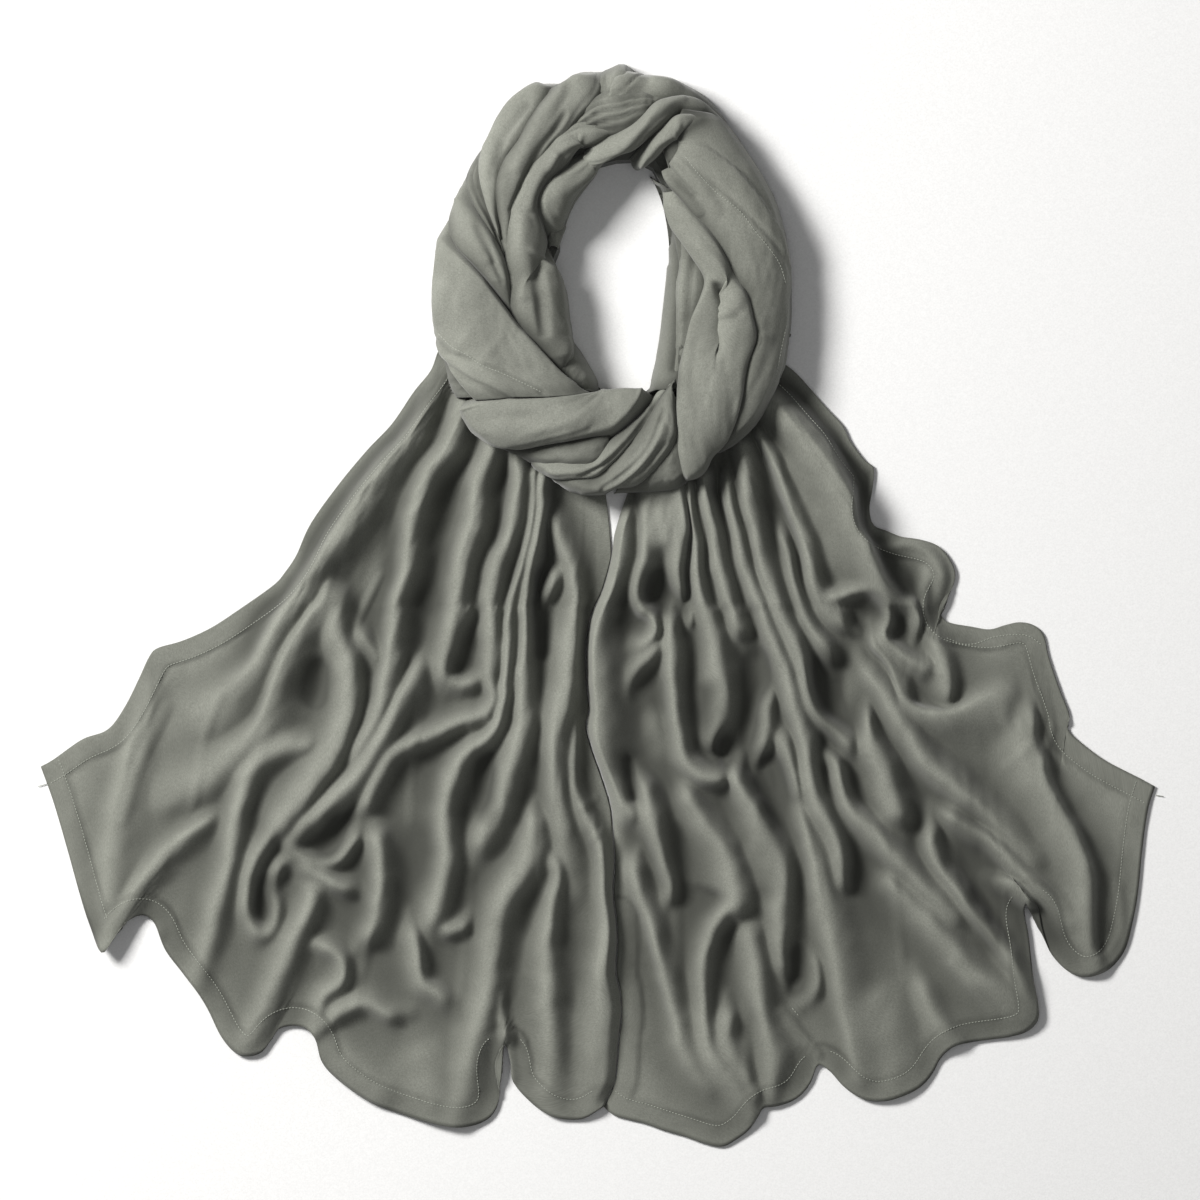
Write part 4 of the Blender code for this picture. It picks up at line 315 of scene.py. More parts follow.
# Folds of the right end, in the same columns
RIGHT_FOLDS = (
    ((22, 78, 12, 4, 6), (18, 62, 18, 5, 9), (17, 40, 20, 6, 10), (12, 20, 20, 7, 10), (5, 0, 20, 6, 8),
     (0, -25, 20, 6, 12), (2, -50, 21, 7, 16), (4, -75, 20, 7, 14), (3, -100, 20, 7, 14),
     (9, -122, 19, 7, 9), (20, -141, 17, 8, 7), (36, -152, 17, 8, 8)),
    ((29, -112, 13, 4, 5), (34, -130, 17, 6, 7), (38, -148, 19, 9, 9), (44, -168, 17, 6, 6),
     (50, -190, 14, 4, 4), (49, -205, 10, 4, 4), (45, -217, 6, 3, 3)),
    ((37, 80, 16, 6, 8), (36, 60, 20, 6, 12), (35, 35, 20, 6, 10), (29, 15, 18, 5, 6), (31, 0, 17, 4, 5),
     (39, -6, 17, 4, 5), (41, -17, 17, 5, 4), (33, -27, 17, 7, 5), (20, -32, 17, 9, 7)),
    ((46, 78, 16, 9, 9), (47, 60, 20, 10, 10), (46, 40, 18, 9, 9), (45, 30, 14, 7, 7)),
    ((56, 82, 16, 7, 7), (58, 60, 20, 10, 6), (57, 35, 19, 8, 6), (59, 10, 16, 4, 4), (61, -3, 10, 3, 3)),
    ((54, 4, 12, 4, 4), (52, -15, 16, 6, 6), (53, -35, 18, 7, 7), (55, -60, 18, 5, 7),
     (57, -85, 18, 6, 7), (60, -105, 18, 7, 7), (72, -117, 18, 6, 8), (88, -119, 18, 6, 8),
     (98, -112, 16, 5, 5)),
    ((50, -18, 15, 6, 5), (40, -32, 17, 6, 6), (30, -42, 14, 6, 6), (23, -56, 11, 4, 5),
     (21, -76, 9, 3, 5)),
    ((27, -78, 6, 8, 8), (40, -80, 8, 8, 8), (47, -95, 8, 8, 6), (50, -115, 8, 8, 6)),
    ((67, 8, 8, 3, 3), (66, -10, 12, 4, 4), (66, -22, 6, 4, 4)),
    ((64, 86, 14, 3, 4), (66, 72, 16, 3, 4), (68, 55, 17, 3, 5), (71, 35, 18, 5, 5), (73, 15, 18, 5, 6),
     (77, -5, 18, 7, 7), (83, -25, 18, 8, 9), (86, -50, 18, 9, 9), (86, -75, 18, 9, 9),
     (80, -95, 16, 5, 4), (84, -109, 11, 3, 3)),
    ((75, 92, 15, 4, 5), (77, 75, 17, 5, 5), (82, 50, 18, 5, 6), (88, 25, 18, 6, 7), (95, 0, 18, 6, 7),
     (101, -18, 17, 7, 8), (107, -29, 14, 8, 8)),
    ((92, 102, 13, 4, 4), (94, 78, 15, 4, 5), (98, 52, 16, 5, 6), (107, 22, 17, 6, 7), (116, 0, 18, 6, 7),
     (123, -22, 18, 6, 8), (132, -45, 18, 7, 8), (140, -72, 18, 7, 9), (147, -95, 18, 6, 8),
     (149, -115, 18, 6, 6), (156, -138, 18, 7, 7), (166, -158, 17, 7, 7), (171, -178, 16, 6, 6),
     (173, -208, 10, 4, 4)),
    ((155, -98, 16, 6, 6), (168, -108, 16, 5, 5), (172, -125, 16, 5, 5), (180, -143, 17, 6, 6),
     (196, -160, 17, 8, 7), (212, -178, 17, 8, 8), (228, -197, 15, 7, 8), (247, -215, 12, 8, 8),
     (262, -232, 8, 7, 7)),
    ((104, 112, 16, 6, 7), (107, 85, 18, 7, 8), (110, 60, 18, 6, 8), (116, 35, 18, 5, 8),
     (123, 12, 18, 6, 8), (130, -8, 18, 6, 8), (140, -28, 18, 7, 7), (145, -48, 17, 6, 5),
     (149, -65, 16, 5, 5), (158, -79, 16, 5, 5), (172, -93, 16, 6, 6), (186, -107, 16, 8, 8)),
    ((129, 62, 10, 4, 4), (133, 42, 14, 4, 5), (136, 22, 15, 5, 5), (143, 0, 15, 5, 6),
     (152, -17, 15, 6, 6), (162, -32, 14, 7, 6), (167, -48, 9, 5, 5)),
    ((114, 122, 14, 3, 4), (124, 103, 16, 4, 5), (133, 82, 17, 4, 6), (142, 60, 17, 4, 6),
     (150, 35, 17, 5, 7), (154, 12, 16, 6, 7), (163, -2, 14, 8, 10), (172, -14, 12, 5, 6),
     (183, -18, 9, 3, 3)),
    ((152, 10, 15, 5, 5), (166, 7, 16, 5, 5), (180, 11, 16, 5, 5), (193, 12, 16, 5, 5), (203, 4, 16, 5, 5),
     (205, -8, 15, 4, 4), (200, -20, 15, 4, 4), (210, -31, 14, 5, 5), (228, -42, 13, 6, 6),
     (245, -44, 10, 6, 6)),
    ((192, -12, 13, 3, 6), (194, -26, 13, 3, 6), (204, -38, 12, 3, 6), (210, -52, 12, 3, 8),
     (218, -70, 13, 8, 4), (235, -76, 15, 10, 4), (255, -73, 14, 14, 4), (275, -66, 12, 18, 8),
     (300, -66, 9, 18, 14)),
    ((122, 142, 18, 8, 7), (140, 122, 22, 12, 9), (155, 103, 24, 16, 10), (170, 80, 25, 18, 8),
     (180, 58, 24, 18, 7), (188, 36, 23, 16, 6), (198, 16, 20, 10, 6), (210, 3, 15, 6, 6),
     (222, 0, 12, 5, 4), (225, -10, 12, 5, 3), (220, -23, 11, 5, 3)),
    ((231, 18, 8, 5, 8), (230, -2, 9, 4, 8), (236, -22, 10, 5, 7), (244, -40, 11, 7, 5),
     (246, -58, 11, 7, 4), (242, -73, 10, 6, 4)),
    ((200, 38, 5, 5, 5), (215, 44, 6, 5, 6), (230, 40, 7, 5, 7), (241, 24, 7, 6, 8), (238, 5, 6, 5, 7)),
    ((304, -60, 8, 10, 4), (301, -88, 10, 14, 5), (308, -112, 12, 14, 5), (320, -138, 13, 12, 5),
     (333, -165, 13, 12, 5), (342, -188, 13, 12, 5), (343, -212, 12, 12, 5), (345, -232, 10, 10, 4),
     (350, -250, 6, 8, 4)),
    ((184, -34, 10, 5, 5), (194, -50, 14, 6, 7), (206, -68, 16, 7, 8), (217, -88, 17, 8, 8),
     (232, -108, 17, 8, 9), (250, -126, 16, 8, 9), (270, -144, 14, 8, 9), (292, -163, 11, 8, 9),
     (318, -188, 7, 8, 12)),
    ((236, -140, 13, 6, 6), (252, -150, 15, 7, 6), (272, -164, 15, 7, 6), (292, -180, 14, 7, 6),
     (310, -197, 13, 7, 7), (325, -212, 11, 8, 8), (342, -234, 8, 7, 7)),
    ((234, -145, 13, 5, 5), (233, -165, 14, 5, 6), (240, -183, 14, 5, 6), (255, -202, 14, 5, 6),
     (270, -221, 13, 5, 6), (285, -241, 12, 5, 6), (297, -259, 10, 5, 6), (303, -276, 6, 6, 6)),
    ((266, -189, 6, 6, 4), (280, -191, 10, 7, 4), (294, -196, 14, 7, 4), (304, -206, 15, 4, 4)),
    ((190, -64, 12, 3, 3), (190, -80, 16, 4, 5), (193, -98, 18, 8, 8), (203, -118, 18, 10, 9),
     (209, -140, 18, 10, 9), (212, -160, 18, 12, 9)),
    ((139, -128, 9, 4, 4), (145, -148, 13, 5, 6), (152, -170, 16, 6, 9), (159, -195, 17, 8, 9),
     (163, -220, 16, 8, 12), (168, -245, 14, 8, 14), (174, -275, 12, 7, 16), (179, -300, 10, 5, 16),
     (183, -325, 7, 4, 14)),
    ((188, -262, 8, 14, 14), (198, -288, 8, 18, 16), (206, -312, 6, 20, 14), (208, -332, 4, 14, 12)),
    ((197, -182, 12, 7, 7), (208, -198, 14, 8, 8), (228, -216, 14, 9, 8), (247, -238, 13, 9, 8),
     (266, -258, 12, 9, 8), (285, -271, 10, 10, 9), (298, -282, 7, 10, 9)),
    ((224, -255, 7, 6, 6), (232, -275, 9, 6, 7), (240, -292, 9, 6, 7), (250, -305, 6, 7, 7)),
    ((125, -52, 10, 3, 3), (119, -70, 14, 5, 6), (118, -90, 16, 7, 7), (112, -108, 14, 4, 4)),
    ((126, -80, 15, 8, 7), (134, -102, 15, 6, 6), (140, -122, 15, 4, 4), (146, -142, 13, 4, 4)),
    ((100, -105, 14, 4, 4), (97, -118, 18, 5, 6), (104, -132, 18, 7, 6), (114, -148, 18, 10, 7),
     (122, -168, 18, 11, 8), (127, -190, 17, 12, 9), (129, -215, 15, 9, 8), (129, -240, 13, 6, 6),
     (130, -266, 7, 4, 4)),
    ((57, -118, 16, 6, 6), (66, -135, 16, 8, 7), (77, -152, 16, 9, 8), (88, -170, 16, 11, 8),
     (96, -190, 17, 13, 9), (98, -208, 17, 12, 11), (90, -214, 16, 6, 8), (80, -228, 15, 6, 6),
     (75, -248, 14, 5, 6), (75, -275, 13, 5, 5), (77, -298, 13, 5, 5), (85, -318, 12, 7, 7),
     (98, -337, 10, 8, 5), (110, -352, 6, 7, 4)),
    ((106, -216, 15, 7, 8), (111, -245, 14, 7, 7), (114, -270, 13, 6, 7), (119, -295, 12, 5, 8),
     (124, -318, 10, 7, 8), (124, -340, 6, 5, 5)),
    ((90, -272, 9, 3, 5), (92, -288, 11, 7, 5), (92, -303, 11, 7, 6), (100, -322, 10, 6, 6),
     (110, -340, 8, 5, 5)),
    ((30, -168, 12, 3, 4), (27, -182, 14, 5, 7), (32, -202, 14, 5, 6), (40, -228, 14, 4, 7),
     (48, -258, 13, 4, 7), (54, -284, 12, 4, 8), (62, -308, 11, 5, 9), (73, -328, 9, 6, 10),
     (92, -346, 6, 7, 10)),
    ((143, -238, 7, 5, 5), (152, -248, 9, 6, 5), (153, -264, 9, 7, 5), (142, -278, 8, 7, 7)),
)

# Fine creases, in the same columns as the folds; a crease with a height below zero is a trough
LEFT_CREASES = (
    ((-195, -45, -3, 9, 9), (-197, -62, -3, 9, 9)),
    ((-228, -195, -3, 8, 8), (-236, -215, -3, 8, 8)),
    ((-182, -150, -2.5, 8, 8), (-188, -172, -2.5, 8, 8)),
    ((-78, -108, -2.5, 8, 8), (-75, -146, -2.5, 8, 8)),
    ((-40, 20, -2.5, 7, 7), (-38, -30, -2.5, 7, 7)),
    ((-151, 22, 1.6, 3, 3), (-158, 8, 2.2, 3.5, 3.5), (-166, -10, 1.2, 3, 3)),
    ((-345, -246, 3, 8, 8), (-327, -235, 4, 8, 8), (-308, -228, 2, 7, 7)),
    ((-67, -303, 2, 7, 7), (-62, -328, 3.5, 7, 7)),
    ((-9, -140, 1.2, 3, 3), (-1, -134, 1.2, 3, 3)),
    ((-4, -163, 1.2, 3, 3), (4, -157, 1.2, 3, 3)),
    ((-300, -70, 1, 4, 4), (-318, -110, 1.2, 4, 4), (-330, -150, 0.8, 4, 4)),
    ((-262, -60, 0.9, 4, 4), (-275, -95, 1.2, 4, 4), (-282, -140, 0.8, 4, 4)),
    ((-150, -190, 1, 4, 4), (-158, -230, 1.4, 4, 4), (-170, -280, 0.8, 4, 4)),
    ((-120, -60, 0.9, 4, 4), (-128, -100, 1.2, 4, 4), (-130, -150, 0.8, 4, 4)),
    ((-88, -190, 1, 4, 4), (-92, -240, 1.3, 4, 4), (-98, -300, 0.8, 4, 4)),
    ((-30, -90, 0.9, 4, 4), (-34, -150, 1.3, 4, 4), (-42, -220, 0.8, 4, 4)),
)
RIGHT_CREASES = (
    ((197, 40, 1.4, 3.5, 3.5), (215, 44, 1.6, 3.5, 3.5), (233, 38, 1.6, 3.5, 3.5), (243, 22, 1.4, 3.5, 3.5),
     (237, 3, 1, 3.5, 3.5)),
    ((212, 28, 1.2, 4, 4), (222, 3, 1.4, 4, 4)),
    ((232, 25, 1, 3.5, 3.5), (230, 0, 1.2, 3.5, 3.5)),
    ((125, 153, 1.6, 3, 3), (145, 138, 2, 3.5, 3.5), (172, 100, 1.2, 3, 3)),
    ((318, -85, 1.4, 4, 4), (315, -95, 1.6, 4, 4), (311, -110, 1.2, 4, 4)),
    ((365, -195, 1.4, 4, 4), (367, -225, 1.8, 4, 4), (360, -240, 1.4, 4, 4)),
    ((345, -188, -1.6, 6, 6), (350, -238, -2, 6, 6)),
    ((285, -113, 1, 3.5, 3.5), (300, -98, 1, 3.5, 3.5)),
    ((248, -250, 1.4, 3.5, 3.5), (278, -285, 1.4, 3.5, 3.5)),
    ((131, -283, 2.4, 6, 3), (143, -298, 3, 6, 3), (155, -312, 2, 6, 3)),
    ((140, -246, -3, 9, 9), (143, -266, -3, 9, 9)),
    ((80, -60, -3, 9, 9), (84, -108, -3, 9, 9)),
    ((112, -38, -3, 9, 9), (111, -88, -3, 9, 9)),
    ((163, -38, -3, 10, 10), (166, -98, -3, 10, 10)),
    ((122, -112, -2.5, 9, 9), (120, -198, -2.5, 9, 9)),
    ((262, -152, -3, 12, 12), (280, -232, -3, 12, 12)),
    ((22, -108, -2.5, 4, 4), (25, -134, -2.5, 4, 4)),
    ((40, 20, -2.5, 7, 7), (42, 0, -2.5, 7, 7)),
    ((55, -150, 1, 4, 4), (56, -210, 1.3, 4, 4), (58, -280, 0.8, 4, 4)),
    ((98, -220, 1, 4, 4), (104, -270, 1.3, 4, 4), (106, -330, 0.8, 4, 4)),
    ((196, -150, 1, 4, 4), (208, -200, 1.3, 4, 4), (216, -260, 0.8, 4, 4)),
    ((140, -120, 0.9, 4, 4), (148, -160, 1.2, 4, 4), (155, -210, 0.8, 4, 4)),
)
# Rows of stitches: the seam lines on the ring and on the two loose ends
RING_SEAMS = (
    ((-110, 190), (-101, 181), (-90, 175), (-80, 168), (-65, 162), (-50, 155), (-38, 149)),
    ((62, 313), (72, 300), (85, 287), (100, 275), (110, 262), (120, 250), (128, 238), (132, 225)),
    ((133, 212), (133, 200), (130, 185), (127, 170), (124, 156)),
)
LEFT_INSIDE = (-150, -120)
RIGHT_SEAMS = (
    ((245, -22), (255, -26), (265, -26), (280, -21), (300, -20), (312, -27)),
    ((137, -281), (142, -287)),
)
RIGHT_INSIDE = (170, -120)
# Loose threads at the hems' corners, from x, y to x, y
STRAY_THREADS = ((-384, -124, -391, -126), (391, -132, 397, -133))

# Creases and turned edges laid over a stretch of the ring:
# x, y, height, half width below or left, half width above or right
RING_CREASES = {
    "left_band": (
        ((-110, 190, -0.9, 2, 2), (-90, 175, -0.9, 2, 2), (-65, 162, -0.9, 2, 2),
         (-38, 149, -0.9, 2, 2)),
        ((-109, 180, -1.4, 2.2, 1.2), (-90, 163, -1.4, 2.2, 1.2), (-70, 151, -1.4, 2.2, 1.2),
         (-60, 145, -1.4, 2.2, 1.2)),
        ((-92, 178, 0.5, 3, 3), (-86, 190, 0.4, 3, 3), (-80, 200, 0.1, 3, 3)),
        ((-78, 170, 0.5, 3, 3), (-72, 180, 0.4, 3, 3), (-66, 188, 0.1, 3, 3)),
        ((-104, 200, 1, 5, 5), (-100, 225, 1.3, 6, 6), (-99, 250, 0.6, 5, 5))),
    "inner_right_edge": (
        ((53, 262, -1.6, 2.5, 2), (57, 245, -2.2, 2.5, 2), (59.5, 222, -2.4, 2.5, 2),
         (58.5, 200, -2.2, 2.5, 2), (56, 165, -1.8, 2.5, 2)),
        ((44, 292, -2, 4, 4), (48, 275, -2.4, 4, 4), (50, 255, -1.5, 3, 3)),
        ((51, 236, 1, 3, 3), (50, 210, 1.2, 3, 3), (46, 175, 0.8, 3, 3))),
    "inner_right_fold": (
        ((69, 244, -1.8, 1.6, 1.6), (68.5, 226, -2.2, 1.8, 1.8), (66.5, 206, -1.8, 1.6, 1.6),
         (62, 180, -1, 1.4, 1.4)),
        ((64, 248, 0.8, 1.6, 1.6), (64.5, 226, 1, 1.8, 1.8), (62.5, 200, 0.8, 1.6, 1.6))),
    "outer_panel": (
        ((52, 332, 1.2, 9, 1.1), (70, 321, 1.5, 9, 1.1), (90, 304, 1.6, 9, 1.1),
         (105, 287, 1.6, 9, 1.1), (120, 263, 1.6, 9, 1.1), (129, 244, 1.4, 8, 1.1), (133, 222, 1, 7, 1)),
        ((63, 311, -0.8, 1.6, 1.6), (85, 291, -0.9, 1.6, 1.6), (105, 270, -0.9, 1.6, 1.6),
         (120, 250, -0.9, 1.6, 1.6), (131, 228, -0.8, 1.6, 1.6), (133, 205, -0.7, 1.6, 1.6),
         (130, 185, -0.6, 1.6, 1.6), (126, 160, -0.5, 1.6, 1.6)),
        ((52, 304, 1.5, 3, 3), (62, 288, 1.8, 4, 4), (72, 268, 0.8, 4, 4)),
        ((60, 312, 1, 2, 2.5), (72, 296, 1.4, 3, 3), (84, 276, 0.6, 4, 4)),
        ((112, 188, 1.6, 2.5, 6), (108, 172, 1.2, 2.5, 6), (104, 152, 0.8, 2.5, 6)),
        ((46, 312, 1.6, 3, 3), (55, 298, 2.2, 3.5, 3.5), (66, 286, 2, 3.5, 3.5),
         (73, 274, 1, 3, 3)),
        ((52, 312, -1.2, 1.6, 1.6), (60, 299, -1.8, 1.8, 1.8), (71, 286, -1.4, 1.6, 1.6))),
    "front_stretch": (
        ((83, 224, -2.5, 2.5, 2.5), (86, 210, -4.5, 5, 4), (87, 194, -4, 5, 4),
         (86, 178, -1.5, 4, 4)),
        ((93, 209, 1.6, 2, 2), (96, 204, 2.2, 2, 2.5), (92, 198, 1.2, 2, 2.5),
         (92, 188, 0.5, 2, 2.5)),
        ((79, 227, 1.2, 1.5, 3), (73, 209, 1.8, 1.5, 4), (68, 190, 1.6, 1.5, 4),
         (64, 166, 1.2, 1.5, 4),
         (62, 140, 0.8, 1.5, 4)),
        ((66, 262, 0.9, 4, 4), (80, 244, 1.2, 4, 4), (92, 226, 1, 4, 4),
         (101, 210, 0.8, 4, 4)),
        ((80, 165, 1, 8, 8), (79, 140, 1.2, 8, 8), (72, 115, 0.6, 6, 6))),
    "inner_left": (
        ((-50, 250, 1.4, 2, 2.5), (-38, 235, 1.8, 2.5, 2.5), (-27, 225, 0.8, 2, 2)),
        ((-44, 232, -2, 3, 3), (-42, 210, -2.6, 3.5, 3.5), (-40, 190, -1.5, 3, 3)),
        ((-53, 270, 1.4, 3, 4), (-54, 240, 1.8, 3.5, 4.5), (-52, 215, 1.4, 3, 4)),
        ((-30, 315, 1.6, 3, 3), (-42, 296, 2, 3, 3), (-49, 278, 1, 3, 3)),
        ((-10, 330, 1.2, 2.5, 2.5), (-26, 318, 1.6, 2.5, 2.5), (-34, 306, 0.8, 2.5, 2.5))),
    "top_strands": (
        ((-12, 335, -2.2, 1.2, 1.2), (2, 343, -2.6, 1.4, 1.4), (20, 347, -2.6, 1.4, 1.4),
         (36, 349, -1.6, 1, 1)),
        ((-6, 334, -1.8, 1.1, 1.1), (8, 338.5, -2.2, 1.3, 1.3), (24, 342.5, -2, 1.2, 1.2),
         (34, 345, -1, 1, 1)),
        ((-14, 339, -1.4, 1, 1), (0, 347.5, -1.8, 1.2, 1.2), (18, 351.5, -1.8, 1.2, 1.2),
         (40, 352.5, -1.2, 1, 1))),
    "top_outer": (
        ((75, 349, -1.6, 1, 1), (88, 336, -1.8, 1, 1), (100, 323, -1.2, 0.9, 0.9)),
        ((15, 355, -1, 1, 1), (25, 364, -1.2, 1, 1), (35, 371, -0.8, 1, 1)),
        ((40, 362, 1.4, 3, 3), (56, 359, 1.2, 3, 3), (72, 352, 0.6, 2, 2))),
    "left_strands": (
        ((-82, 311, -1.8, 1, 1), (-83.5, 297, -2.2, 1.1, 1.1), (-79, 282, -2.2, 1.1, 1.1),
         (-72, 264, -1.8, 1, 1), (-67, 250, -1.2, 0.8, 0.8)),
        ((-79, 308, -1, 0.9, 0.9), (-80, 294, -1.4, 0.9, 0.9), (-76, 279, -1.4, 0.9, 0.9),
         (-70, 262, -1, 0.8, 0.8))),
    "left_panel": (
        ((-90, 290, 1.2, 3, 3), (-86, 268, 1.6, 4, 4), (-76, 242, 1, 4, 4)),
        ((-80, 262, -1, 2, 2), (-73, 244, -1.2, 2, 2), (-66, 226, -0.8, 2, 2))),
    "upper_left_outer": (
        ((-40, 357, 1.6, 4, 4), (-58, 342, 2, 5, 4), (-68, 322, 1.6, 4, 4),
         (-72, 300, 0.8, 3, 3)),
        ((-44, 345, -1.4, 2, 2), (-57, 328, -1.6, 2, 2), (-66, 306, -1.2, 1.8, 1.8))),
    "upper_left_middle": (
        ((-12, 362, 1.6, 4, 4), (-28, 348, 2.2, 4, 4), (-42, 328, 2, 4, 4),
         (-54, 304, 1.2, 3.5, 3.5)),
        ((-22, 340, -1.6, 2, 2), (-38, 320, -1.8, 2, 2), (-50, 298, -1.4, 1.8, 1.8),
         (-60, 276, -0.8, 1.5, 1.5))),
    "over_strand": (
        ((-34, 278, 1.4, 3.5, 3.5), (-30, 292, 1.8, 4, 4), (-18, 302, 1.6, 3.5, 3.5),
         (0, 314, 1.2, 3, 3),
         (20, 327, 1.4, 3, 3), (42, 343, 1.8, 3.5, 3.5), (58, 349, 1.2, 3, 3)),
        ((-26, 268, -1.2, 2, 2), (-22, 286, -1.4, 2, 2), (-10, 300, -1, 1.8, 1.8))),
    "hook_strand": (
        ((34, 314, 1.2, 2.5, 2.5), (45, 326, 1.6, 3, 3), (56, 335, 1, 2.5, 2.5)),),
    "bottom_band": (
        ((-80, 128, 1.2, 6, 6), (-50, 124, 1.8, 7, 7), (-15, 127, 1.6, 7, 7),
         (15, 134, 0.8, 5, 5)),
        ((-60, 116, -1, 1.6, 1.6), (-30, 117, -1.2, 1.8, 1.8), (-5, 121, -0.8, 1.5, 1.5)),
        ((-90, 141, 1.5, 1.6, 1.6), (-70, 145.5, 1.3, 1.6, 1.6), (-20, 146.5, 1.2, 1.6, 1.6),
         (24, 147.5, 1, 1.4, 1.4))),
    "bottom_roll": (
        ((-32, 98, 1, 2, 2), (-8, 97.5, 1.2, 2, 2), (14, 110, 1.4, 2.5, 2.5),
         (38, 133, 1.4, 3, 3)),
        ((-10, 94, -1, 1.2, 1.2), (8, 103, -1.3, 1.3, 1.3), (30, 123, -1.4, 1.4, 1.4),
         (46, 142, -1, 1.2, 1.2))),
    "bottom_wide": (
        ((-8, 84, 1, 3, 3), (10, 90, 1.4, 3.5, 3.5), (28, 100, 1.6, 4, 4),
         (46, 122, 1.4, 4, 4)),
        ((4, 88, -1.2, 1.5, 1.5), (22, 98, -1.6, 1.8, 1.8), (38, 113, -1.6, 1.8, 1.8),
         (50, 134, -1, 1.5, 1.5)),
        ((18, 90, -0.8, 1.5, 1.5), (34, 100, -1.2, 1.6, 1.6), (48, 114, -0.8, 1.5, 1.5))),
}


def soft_noise(x, y, size, seed):
    """Smooth uneven heights between -1 and 1, changing over about the given size."""
    grid = np.random.default_rng(seed).uniform(-1, 1, (97, 97))
    px, py = (x / size) % 96, (y / size) % 96
    cx, cy = np.floor(px).astype(int), np.floor(py).astype(int)
    fx, fy = px - cx, py - cy
    fx, fy = fx * fx * (3 - 2 * fx), fy * fy * (3 - 2 * fy)
    low = grid[cy, cx] * (1 - fx) + grid[cy, cx + 1] * fx
    high = grid[cy + 1, cx] * (1 - fx) + grid[cy + 1, cx + 1] * fx
    return low * (1 - fy) + high * fy


def smooth_rows(rows, count):
    """The rows of a table, joined by a smooth curve and read again at evenly spread places."""
    rows = np.asarray(rows, float)
    ends = np.vstack([2 * rows[0] - rows[1], rows, 2 * rows[-1] - rows[-2]])
    fine = []
    for i in range(len(rows) - 1):
        a, b, c, d = ends[i:i + 4]
        for t in np.arange(0, 1, 0.125):
            fine.append(0.5 * (2 * b + (c - a) * t + (2 * a - 5 * b + 4 * c - d) * t * t
                               + (3 * b - a - 3 * c + d) * t ** 3))
    fine.append(rows[-1])
    fine = np.array(fine)
    run = np.concatenate([[0], np.cumsum(np.hypot(*np.diff(fine[:, :2], axis=0).T))])
    places = np.linspace(0, run[-1], count)
    return np.column_stack([np.interp(places, run, fine[:, k]) for k in range(fine.shape[1])])


def closed_curve(outline, count):
    """A closed outline as a smooth curve of many short steps."""
    corners = list(outline)
    rows = smooth_rows(corners[-3:] + corners + corners[:4], 6 * len(corners) + 49)
    start = np.hypot(*(rows - corners[0]).T)[:len(rows) // 2].argmin()
    end = len(rows) // 2 + np.hypot(*(rows - corners[0]).T)[len(rows) // 2:].argmin()
    return smooth_rows(rows[start:end], count)


RING_CURVE = closed_curve(RING_OUTLINE, 420)
HOLE_CURVE = closed_curve(HOLE_OUTLINE, 260)


def nearest_on(curve, x, y):
    """Distance from each point to a closed curve, with the nearest place on it."""
    best = np.full(x.shape, np.inf)
    at_x, at_y = x.copy(), y.copy()
    for (ax, ay), (bx, by) in zip(curve, np.roll(curve, -1, axis=0)):
        span = (bx - ax) ** 2 + (by - ay) ** 2 + 1e-9
        t = np.clip(((x - ax) * (bx - ax) + (y - ay) * (by - ay)) / span, 0, 1)
        qx, qy = ax + t * (bx - ax), ay + t * (by - ay)
        away = np.hypot(x - qx, y - qy)
        nearer = away < best
        best = np.where(nearer, away, best)
        at_x = np.where(nearer, qx, at_x)
        at_y = np.where(nearer, qy, at_y)
    return best, at_x, at_y


def within(curve, x, y):
    """Which points lie inside a closed curve."""
    inside = np.zeros(x.shape, bool)
    for (ax, ay), (bx, by) in zip(curve, np.roll(curve, -1, axis=0)):
        if ay == by:
            continue
        crosses = (ay > y) != (by > y)
        inside ^= crosses & (x < ax + (y - ay) * (bx - ax) / (by - ay))
    return inside


def ring_edges(x, y):
    """Signed distance in from the ring's rim and from its hole, with the nearest places on both."""
    rim, rim_x, rim_y = nearest_on(RING_CURVE, x, y)
    hole, hole_x, hole_y = nearest_on(HOLE_CURVE, x, y)
    rim = np.where(within(RING_CURVE, x, y), rim, -rim)
    hole = np.where(within(HOLE_CURVE, x, y), -hole, hole)
    return rim, rim_x, rim_y, hole, hole_x, hole_y


def rim_lift(x, y):
    """Height of the ring's underside over the loose ends: they come out under its lower half."""
    low = np.clip((190 - y) / 40, 0, 1)
    return ROOT_LIFT * low * low * (3 - 2 * low)


